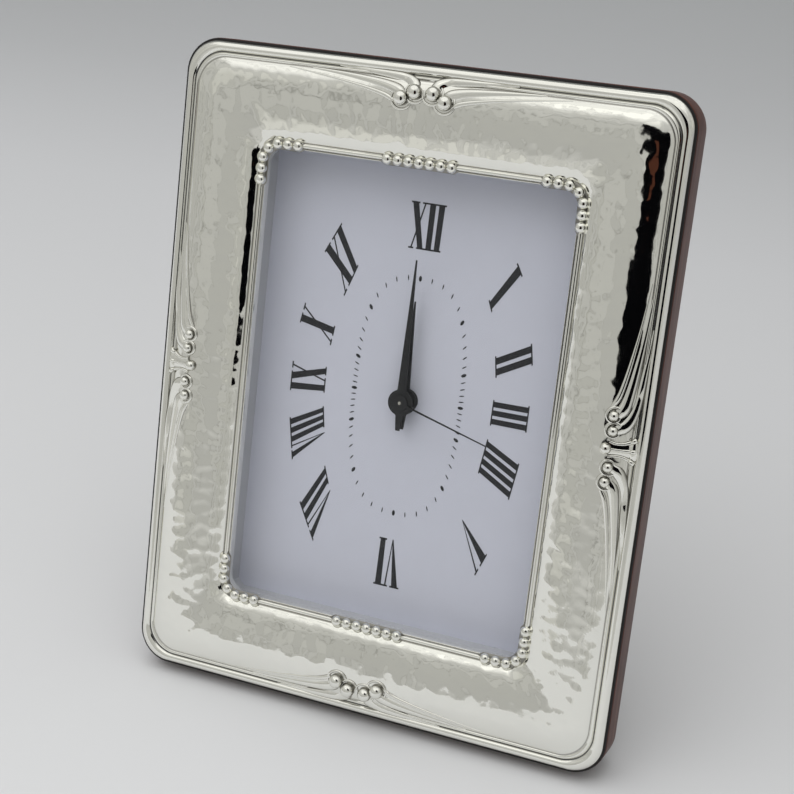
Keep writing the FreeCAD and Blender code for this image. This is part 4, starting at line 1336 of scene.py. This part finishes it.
@dataclass
class Window:
    """Glass, spacer, moulded core and printed dial."""

    shop: Workshop
    ink: Enamel = Enamel("dial_ink", (0.014, 0.014, 0.018), 0.5)
    face: float = 10.4
    proud: float = 0.05
    tick_half: Pair = (16.5, 34.6)
    tick_middle: Pair = (-0.1, -0.3)
    tick_power: float = 2.8
    bold_tick: Pair = (0.92, 1.75)
    thin_tick: Pair = (0.34, 1.6)
    serif: float = 0.035
    # Each letter's width, its strokes, and its serifs from left to right with 0 at the foot and 1
    # at the head. All are 1 high, and an I is 1 wide.
    letters: dict[str, tuple[float, Any, Any]] = field(default_factory=lambda: {
        "I": (1.0, (((0.18, 0), (0.82, 0), (0.82, 1), (0.18, 1)),), ((0.0, 1.0, 0), (0.0, 1.0, 1))),
        "V": (1.75, (((0.9, 0), (1.02, 0), (0.8, 1), (0.15, 1)),
                     ((0.93, 0), (1.02, 0), (1.6, 1), (1.44, 1))),
              ((0.0, 1.0, 1), (1.25, 1.75, 1))),
        "X": (1.9, (((1.12, 0), (1.76, 0), (0.8, 1), (0.14, 1)),
                    ((0.22, 0), (0.38, 0), (1.68, 1), (1.52, 1))),
              ((0.95, 1.9, 0), (0.0, 0.62, 0), (0.0, 0.95, 1), (1.25, 1.9, 1))),
    })
    # Each numeral's foot, left and right, and its head, left and right.
    numerals: dict[str, tuple[Pair, Pair, Pair, Pair]] = field(default_factory=lambda: {
        "XII": ((-4.9, 42.5), (4.9, 42.5), (-5.3, 55.8), (5.3, 55.8)),
        "I": ((20.8, 31.4), (22.0, 28.3), (27.8, 43.2), (29.7, 39.8)),
        "II": ((24.7, 16.2), (25.6, 10.2), (34.9, 21.7), (35.9, 15.7)),
        "III": ((25.8, 3.9), (25.7, -3.5), (36.6, 4.1), (36.6, -3.5)),
        "IIII": ((25.5, -7.5), (24.0, -17.8), (35.8, -12.8), (34.1, -23.7)),
        "V": ((22.0, -31.4), (20.4, -33.2), (29.8, -41.0), (27.0, -48.0)),
        "VI": ((3.1, -42.9), (-3.5, -42.9), (4.2, -57.5), (-3.9, -57.5)),
        "VII": ((-19.9, -34.8), (-23.2, -25.2), (-24.6, -49.0), (-30.2, -38.0)),
        "VIII": ((-24.2, -17.4), (-25.6, -7.6), (-34.1, -25.6), (-36.2, -13.1)),
        "IX": ((-25.8, -3.6), (-25.9, 4.1), (-37.0, -4.9), (-37.0, 4.0)),
        "X": ((-25.4, 10.6), (-24.6, 16.4), (-36.0, 15.8), (-34.9, 21.8)),
        "XI": ((-22.8, 25.6), (-19.4, 35.0), (-30.4, 37.6), (-26.0, 46.5)),
    })

    def build(self) -> None:
        """Dresses what lies in the window and prints the dial."""
        dress = self.shop.dress
        dress(Pane("clear_glass_pane"), "glass_pane")
        dress(Card("spacer_board", (0.52, 0.53, 0.56), (0.44, 0.45, 0.48)), "spacer_frame")
        dress(Moulded("moulded_core_plastic", (0.05, 0.05, 0.055)), "moulded_core")
        dress(Card("dial_card_white", (0.67, 0.685, 0.785), (0.64, 0.66, 0.765), 0.3, 0.004, 0.5),
              "dial_card")
        self._print_numerals()
        self._print_ticks()

    def _strokes(self, text: str) -> list[list[Pair]]:
        """Strokes of a numeral.

        Args:
            text: its letters.

        Returns:
            The outline of each stroke, across a width and height of 1 each.
        """
        total = sum(self.letters[letter][0] for letter in text)
        strokes, start = [], 0.0
        for letter in text:
            width, stems, serifs = self.letters[letter]
            bars = []
            for left, right, edge in serifs:
                low = edge * (1 - self.serif)
                bars.append(((left, low), (right, low), (right, low + self.serif),
                             (left, low + self.serif)))
            strokes += [[((start + u) / total, v) for u, v in stroke] for stroke in (*stems, *bars)]
            start += width
        return strokes

    def _print_numerals(self) -> None:
        """Prints the twelve Roman numerals, each stretched to its own place."""
        blank = Blank()
        for text, corners in self.numerals.items():
            low_left, low_right, high_left, high_right = (np.array(corner) for corner in corners)
            for index, stroke in enumerate(self._strokes(text)):
                outline = [(1 - v) * ((1 - u) * low_left + u * low_right)
                           + v * ((1 - u) * high_left + u * high_right) for u, v in stroke]
                blank.slab(outline, self.face - self.proud - 0.002 * index, self.face)
        self.shop.piece("dial_numerals", blank, "frame", "hand_black", self.ink)

    def _print_ticks(self) -> None:
        """Prints sixty minute marks on a tall oval, every fifth one bold."""
        places, turns, stretches = [], [], []
        for minute in range(60):
            angle = math.radians(6 * minute)
            way = np.array([math.sin(angle), math.cos(angle)])
            reach = sum((abs(way) / self.tick_half) ** self.tick_power) ** (-1 / self.tick_power)
            x, z = self.tick_middle + reach * way
            width, length = self.thin_tick if minute % 5 else self.bold_tick
            places.append((x, self.face - self.proud / 2, z))
            turns.append((0.0, angle, 0.0))
            stretches.append((width, self.proud, length))
        marks = Repeater("minute_marks")
        radius = marks.size("Mark half width", 0.5)
        rod = marks.add("GeometryNodeMeshCylinder",
                        sockets={"Vertices": 8, "Radius": radius, "Depth": 1.0})
        flat = marks.add("GeometryNodeTransform",
                         sockets={0: rod.outputs["Mesh"], "Rotation": (QUARTER, 0.0, 0.0)})
        mesh = marks.grown(flat.outputs[0], places, {"turn": turns, "stretch": stretches})
        mesh.transform(self.shop.stance.matrix())
        self.shop.piece("dial_minute_marks", mesh, "frame", "hand_black", self.ink)


@dataclass
class Hands:
    """Hour, minute and second hand with their bosses."""

    shop: Workshop
    dial: float = 10.4
    axle: float = -1.0
    boss: float = 3.8
    hub: Sequence[Pair] = ((0.0, 3.0), (1.05, 3.0), (1.1, 2.9))
    thickness: float = 0.4
    draws: Sequence[Pair] = ((0.0, 0.0), (0.3, 0.0), (0.37, 0.05))
    front_draw: float = 0.13
    tail: float = 8.2
    second_hub: float = 2.4
    second_angle: float = 105.3
    second_length: float = 28.0
    second_halves: Pair = (0.25, 0.13)
    second_height: float = 5.3
    rim_steps: int = 96

    def build(self) -> None:
        """Makes the three hands, each on its own body."""
        ink = Enamel("hand_paint")
        for name, body, length, width, height in (("hour_hand", "hour", 29.0, 3.0, 2.0),
                                                  ("minute_hand", "minute", 41.0, 2.8, 4.7)):
            blank = Blank()
            back = self.dial - height
            self._star(blank, self._blade(length, width / 2), self.boss, back)
            hub = [(back + along, radius) for along, radius in self.hub]
            blank.turned((0, 0, self.axle), hub, 48)
            self.shop.piece(name + "_painted", blank, body, "hand_black", ink, (name,), 40)
        blank = Blank()
        angle = math.radians(self.second_angle)
        foot, tip = self.second_halves
        needle = [(across * math.cos(angle) + along * math.sin(angle),
                   -across * math.sin(angle) + along * math.cos(angle))
                  for across, along in ((-foot, 0.0), (-tip, self.second_length),
                                        (tip, self.second_length), (foot, 0.0))]
        self._star(blank, needle, self.second_hub, self.dial - self.second_height)
        self.shop.piece("second_hand_painted", blank, "second", "hand_black", ink,
                        ("second_hand",), 40)

    def _blade(self, length: float, half: float) -> list[Pair]:
        """Outline of a tapered blade with its tail, from its length and half width."""
        return [(-half, 0.0), (-half * 0.12, length), (half * 0.12, length), (half, 0.0),
                (half * 0.45, -self.tail), (-half * 0.45, -self.tail)]

    def _star(self, blank: Blank, blade: Sequence[Pair], boss: float, back: float) -> None:
        """Adds a boss and a blade as one plate with its front edge eased.

        Args:
            blank: the mesh in the making.
            blade: the blade's outline about the axle.
            boss: the boss's radius.
            back: the plate's hidden face.
        """
        corners = np.asarray(blade, float)
        turns = sorted(set(np.arctan2(corners[:, 1], corners[:, 0]))
                       | set(np.linspace(-math.pi, math.pi, self.rim_steps + 1)[:-1]))
        outline = [self._reach(turn, corners, boss) for turn in turns]
        rings = []
        for rise, draw in (*self.draws, (self.thickness, self.front_draw)):
            rings.append([(math.cos(turn) * max(reach - draw, 0.05), back - rise,
                           self.axle + math.sin(turn) * max(reach - draw, 0.05))
                          for turn, reach in zip(turns, outline)])
        blank.rings(np.array(rings))

    @staticmethod
    def _reach(turn: float, corners: np.ndarray, boss: float) -> float:
        """How far the boss or the blade reaches from the axle.

        Args:
            turn: the direction, as an angle in radians.
            corners: the blade's outline.
            boss: the boss's radius.

        Returns:
            The distance in millimetres.
        """
        ray = np.array([math.cos(turn), math.sin(turn)])
        best = boss
        for start, end in zip(corners, np.roll(corners, -1, axis=0)):
            edge = end - start
            cross = ray[0] * edge[1] - ray[1] * edge[0]
            if abs(cross) < 1e-9:
                continue
            along = (start[0] * edge[1] - start[1] * edge[0]) / cross
            share = (start[0] * ray[1] - start[1] * ray[0]) / cross
            if along > 0 and -1e-6 <= share <= 1 + 1e-6:
                best = max(best, along)
        return best


# --- what shows at the back


@dataclass
class BackSide:
    """Panel, buttons, easel leg, movement and what lies inside it."""

    shop: Workshop
    leg_opening: float = 31.0
    battery_middle: Triple = (0.0, 22.6, -20.2)
    battery_split: float = 9.5
    battery_profile: Sequence[Pair] = (
        (-24.7, 5.6), (-24.66, 6.3), (-24.4, 6.9), (-23.9, 7.08), (-23.4, 7.1), (22.6, 7.1),
        (23.1, 7.06), (23.5, 6.8), (23.68, 6.3), (23.7, 5.4), (23.55, 4.8), (23.6, 3.0),
        (23.7, 2.7), (24.5, 2.68), (24.66, 2.5), (24.7, 2.1))

    def build(self) -> None:
        """Eases the pieces that show, makes the dry cell and dresses the rest."""
        self._outside()
        blank = Blank()
        blank.turned(self.battery_middle, self.battery_profile, 64, axis=0)
        self.shop.piece("battery_jacketed", blank, "battery", "battery",
                        Jacket("cell_jacket", self.battery_split), ("battery_cell",), 40)
        self._inside()

    def _outside(self) -> None:
        """Eases the solids that show, each with the width of its eased edges and its crease."""
        lean = self.shop.stance.lean - math.radians(self.leg_opening)
        panel = Card("fibre_panel_brown", (0.105, 0.06, 0.038), (0.055, 0.03, 0.02), 0.7, 0.06, 0.7)
        brass = Metal("button_brass", (0.78, 0.56, 0.27), 0.3)
        steel = Metal("plated_screw_steel", (0.62, 0.62, 0.6), 0.3)
        hinge = Metal("hinge_brass", (0.72, 0.52, 0.26), 0.34)
        black = Moulded("movement_black", (0.022, 0.022, 0.024), 0.45, 0.4, 0.03)
        knob = Moulded("knob_black_plastic", (0.03, 0.03, 0.032), 0.36)
        rows = [("back_panel", "panel", panel, 0.2, 35),
                ("easel_leg", "leg_wood", Lacquered("leg_lacquered_wood", lean), 0.6, 35),
                ("movement_base", "case_black", black, 0.3, 35),
                ("movement_cover", "case_black", black, 0.4, 35),
                ("setting_knob", "knob_black", knob, 0.3, 20)]
        rows += [("turn_button_" + place, "button_metal", brass, 0.15, 30)
                 for place in ("top_left", "top_right", "bottom_left", "bottom_right")]
        rows += [(name + "_screws", "screw_steel", steel, 0.1, 40)
                 for name in ("button", "movement", "hinge_panel", "hinge_leg")]
        rows += [(name, "hinge_metal", hinge, 0.12, 30)
                 for name in ("hinge_leaf_fixed", "hinge_leaf_moving")]
        rows.append(("hinge_pin", "pin_steel", steel, 0.1, 50))
        for node, slot, recipe, ease, crease in rows:
            self.shop.eased(node, slot, recipe, ease, crease)

    def _inside(self) -> None:
        """Dresses the train, the motor and the contacts, which stay as the solids are."""
        for recipe, names in (
                (Metal("contact_spring_steel", (0.66, 0.65, 0.62), 0.25),
                 ("contact_positive", "contact_negative")),
                (Moulded("bridge_white", (0.62, 0.62, 0.58), 0.4), ("gear_bridge",)),
                (Metal("gear_brass_bright", (0.80, 0.60, 0.28), 0.22),
                 ("clutch_wheel", "cannon_pinion")),
                (Moulded("gear_acetal", (0.72, 0.70, 0.62), 0.35),
                 ("hour_wheel", "minute_wheel", "third_wheel", "second_wheel", "fifth_wheel",
                  "setting_pinion")),
                (Moulded("rotor_dark", (0.08, 0.075, 0.08), 0.4), ("rotor",)),
                (Metal("motor_steel_plate", (0.45, 0.45, 0.46), 0.35),
                 ("stator_plate", "coil_core")),
                (Metal("coil_copper_wire", (0.72, 0.33, 0.16), 0.3, (1.0, 1.0, 6.0)),
                 ("coil_winding",)),
                (Card("board_green_resist", (0.02, 0.13, 0.06), (0.015, 0.09, 0.04), 0.8, 0.02,
                      0.35), ("circuit_board",)),
                (Metal("crystal_can", (0.7, 0.7, 0.68), 0.18, (0.12, 1.0, 1.0)), ("quartz_can",))):
            self.shop.dress(recipe, *names)


# --- studio


@dataclass
class Studio:
    """Pale sweep, soft lamps, two cards that the silver mirrors, the room and the camera."""

    shop: Workshop
    lens: float = 74.0
    sensor: float = 36.0
    nearest: float = 0.01
    camera_place: Triple = (160.7, -418.1, 99.5)
    right: Triple = (0.9194, 0.3774, 0.111)
    down: Triple = (0.1818, -0.1574, -0.9707)
    forward: Triple = (-0.3488, 0.9126, -0.2133)
    # The floor's front, where the part that the silver mirrors starts, where the bend into the
    # backdrop starts and its radius, the backdrop's height, and half the width, in metres.
    floor_start: float = -1.6
    floor_edge: float = -0.42
    bend_start: float = 0.55
    bend_radius: float = 0.7
    backdrop_top: float = 2.0
    half_width: float = 2.2

    def build(self) -> None:
        """Sets up everything round the clock."""
        for name in ("Cube", "Light", "Camera"):
            if name in bpy.data.objects:
                bpy.data.objects.remove(bpy.data.objects[name])
        self._sweep()
        self._lamps()
        self._cards()
        self._room()
        self._camera()
        bpy.context.scene.view_settings.view_transform = "Standard"

    def _sweep(self) -> None:
        """Makes the floor that bends up into the backdrop, its paper given painted shade that
        darkens towards the back.
        """
        radius = self.bend_radius
        profile = [(self.floor_edge, 0.0), (self.bend_start, 0.0)]
        profile += [(self.bend_start + radius * math.sin(turn), radius * (1 - math.cos(turn)))
                    for turn in np.linspace(0, QUARTER, 18)[1:]]
        profile.append((self.bend_start + radius, self.backdrop_top))
        dress = Dress("sweep_paper")
        here = dress.node("ShaderNodeTexCoord", output="Object")
        depth = dress.node("ShaderNodeSeparateXYZ", sockets={0: here}, output="Y")
        # Painted shade: pale at the front of the floor, darkening towards the back to dark grey on
        # the upright backdrop.
        colour = dress.ramp(depth * 0.6 + 0.3, (0.2, (0.69, 0.695, 0.71)),
                            (0.5, (0.585, 0.59, 0.61)), (0.85, (0.33, 0.34, 0.35)))
        paper = dress.shaded(Base_Color=colour, Roughness=0.9)
        self._strip("studio_sweep", profile, paper)
        front = self._strip("studio_floor_front", [(self.floor_start, 0.0), profile[0]], paper)
        front.visible_glossy = False

    def _strip(self, name: str, profile: Sequence[Pair],
               paper: bpy.types.Material) -> bpy.types.Object:
        """Makes a part of the sweep.

        Args:
            name: its name.
            profile: its places (y, z) from front to back.
            paper: its material.

        Returns:
            The finished object.
        """
        points = [(x, y, z) for x in (-self.half_width, self.half_width) for y, z in profile]
        count = len(profile)
        mesh = bpy.data.meshes.new(name)
        mesh.from_pydata(points, [], [(index, index + count, index + count + 1, index + 1)
                                      for index in range(count - 1)])
        mesh.shade_smooth()
        return self._staged(name, mesh, paper)

    @staticmethod
    def _staged(name: str, mesh: bpy.types.Mesh,
                material: bpy.types.Material) -> bpy.types.Object:
        """Sets a mesh in the studio.

        Args:
            name: the object's name.
            mesh: its mesh in metres.
            material: its material.

        Returns:
            The object.
        """
        mesh.materials.append(material)
        made = bpy.data.objects.new(name, mesh)
        bpy.context.scene.collection.objects.link(made)
        return made

    def _lamps(self) -> None:
        """Hangs the soft lamps."""
        for name, place, target, size, power in (
                ("lamp_above", (-0.25, -0.15, 1.3), (0, 0, 0.05), (1.6, 1.4), 8.0),
                ("lamp_left", (-1.2, -0.9, 0.9), (0, 0, 0.1), (1.2, 1.2), 1.6)):
            light = bpy.data.lights.new(name, "AREA")
            light.shape = "RECTANGLE"
            light.size, light.size_y = size
            light.energy = power
            lamp = bpy.data.objects.new(name, light)
            lamp.location = place
            lamp.visible_glossy = False
            aim = Vector(target) - Vector(place)
            lamp.rotation_euler = aim.to_track_quat("-Z", "Y").to_euler()
            bpy.context.scene.collection.objects.link(lamp)

    def _cards(self) -> None:
        """Stands cards that only the polished silver mirrors."""
        for name, colour, low, high, depth in (
                ("mirrored_dark_card", (0.002, 0.002, 0.003), (0.043, 0.102), (0.21, 0.32), -0.185),
                ("mirrored_brown_card", (0.14, 0.05, 0.03), (0.072, 0.2), (0.105, 0.24), -0.182)):
            mesh = bpy.data.meshes.new(name)
            mesh.from_pydata([(low[0], depth, low[1]), (high[0], depth, low[1]),
                              (high[0], depth, high[1]), (low[0], depth, high[1])], [],
                             [(0, 1, 2, 3)])
            matt = Dress(name).shaded(Base_Color=colour, Roughness=0.8, Specular_IOR_Level=0.0)
            card = self._staged(name, mesh, matt)
            card.visible_camera = False
            card.visible_diffuse = False
            card.visible_shadow = False
            card.visible_transmission = False

    def _room(self) -> None:
        """Fills the room with grey light, brighter from above.

        What mirrors the room sees soft patches with dark outlines; the camera sees plain grey.
        """
        dress = Dress("room", bpy.data.worlds)
        bpy.context.scene.world = dress.made
        here = dress.node("ShaderNodeTexCoord", output="Generated")
        height = dress.node("ShaderNodeSeparateXYZ", sockets={0: here}, output="Z")
        cloud = dress.node("ShaderNodeTexNoise",
                           sockets={"Vector": here, "Scale": 2.4, "Detail": 3.0}, output="Fac")
        light = dress.ramp(cloud * 0.26 + height,
                           (0.0, (0.60, 0.60, 0.585)), (0.1, (0.48, 0.48, 0.465)),
                           (0.25, (0.49, 0.49, 0.47)), (0.55, (0.51, 0.51, 0.49)),
                           (0.8, (0.60, 0.60, 0.585)), (0.93, (1.0, 1.0, 0.98)))
        patches = dress.ramp(cloud, (0.42, (0.92, 0.92, 0.92)), (0.427, (0.5, 0.5, 0.49)),
                             (0.435, (1.0, 1.0, 1.0)), (0.51, (1.02, 1.02, 1.02)),
                             (0.518, (0.55, 0.55, 0.54)), (0.527, (0.94, 0.94, 0.93)),
                             (0.6, (0.96, 0.96, 0.95)), (0.607, (0.6, 0.6, 0.59)),
                             (0.615, (1.12, 1.12, 1.1)))
        mirrored = dress.mixed(1.0, light, patches, "MULTIPLY")
        seen = dress.node("ShaderNodeLightPath", output="Is Camera Ray")
        colour = dress.mixed(seen, mirrored, (0.52, 0.525, 0.53))
        dress.end("ShaderNodeOutputWorld",
                  dress.node("ShaderNodeBackground", sockets={"Color": colour}))

    def _camera(self) -> None:
        """Sets the camera at the photograph's angle."""
        stand = self.shop.stance.matrix()
        turn = stand.to_3x3().normalized()
        right, down, forward = (turn @ Vector(axis)
                                for axis in (self.right, self.down, self.forward))
        matrix = Matrix((right, -down, -forward)).transposed().to_4x4()
        matrix.translation = stand @ Vector(self.camera_place)
        data = bpy.data.cameras.new("camera")
        data.lens = self.lens
        data.sensor_width = self.sensor
        data.clip_start = self.nearest
        camera = bpy.data.objects.new("camera", data)
        camera.matrix_world = matrix
        bpy.context.scene.collection.objects.link(camera)
        bpy.context.scene.camera = camera


def main() -> None:
    """Builds the clock's looks, piece by piece, and the studio round it."""
    logging.basicConfig(level=logging.INFO, format="%(message)s")
    shop = Workshop()
    for assembly in (SilverFront(shop), WoodSurround(shop), Window(shop), Hands(shop),
                     BackSide(shop), Studio(shop)):
        assembly.build()
        LOG.info("finished %s", type(assembly).__name__)


if __name__ == "__main__":
    main()
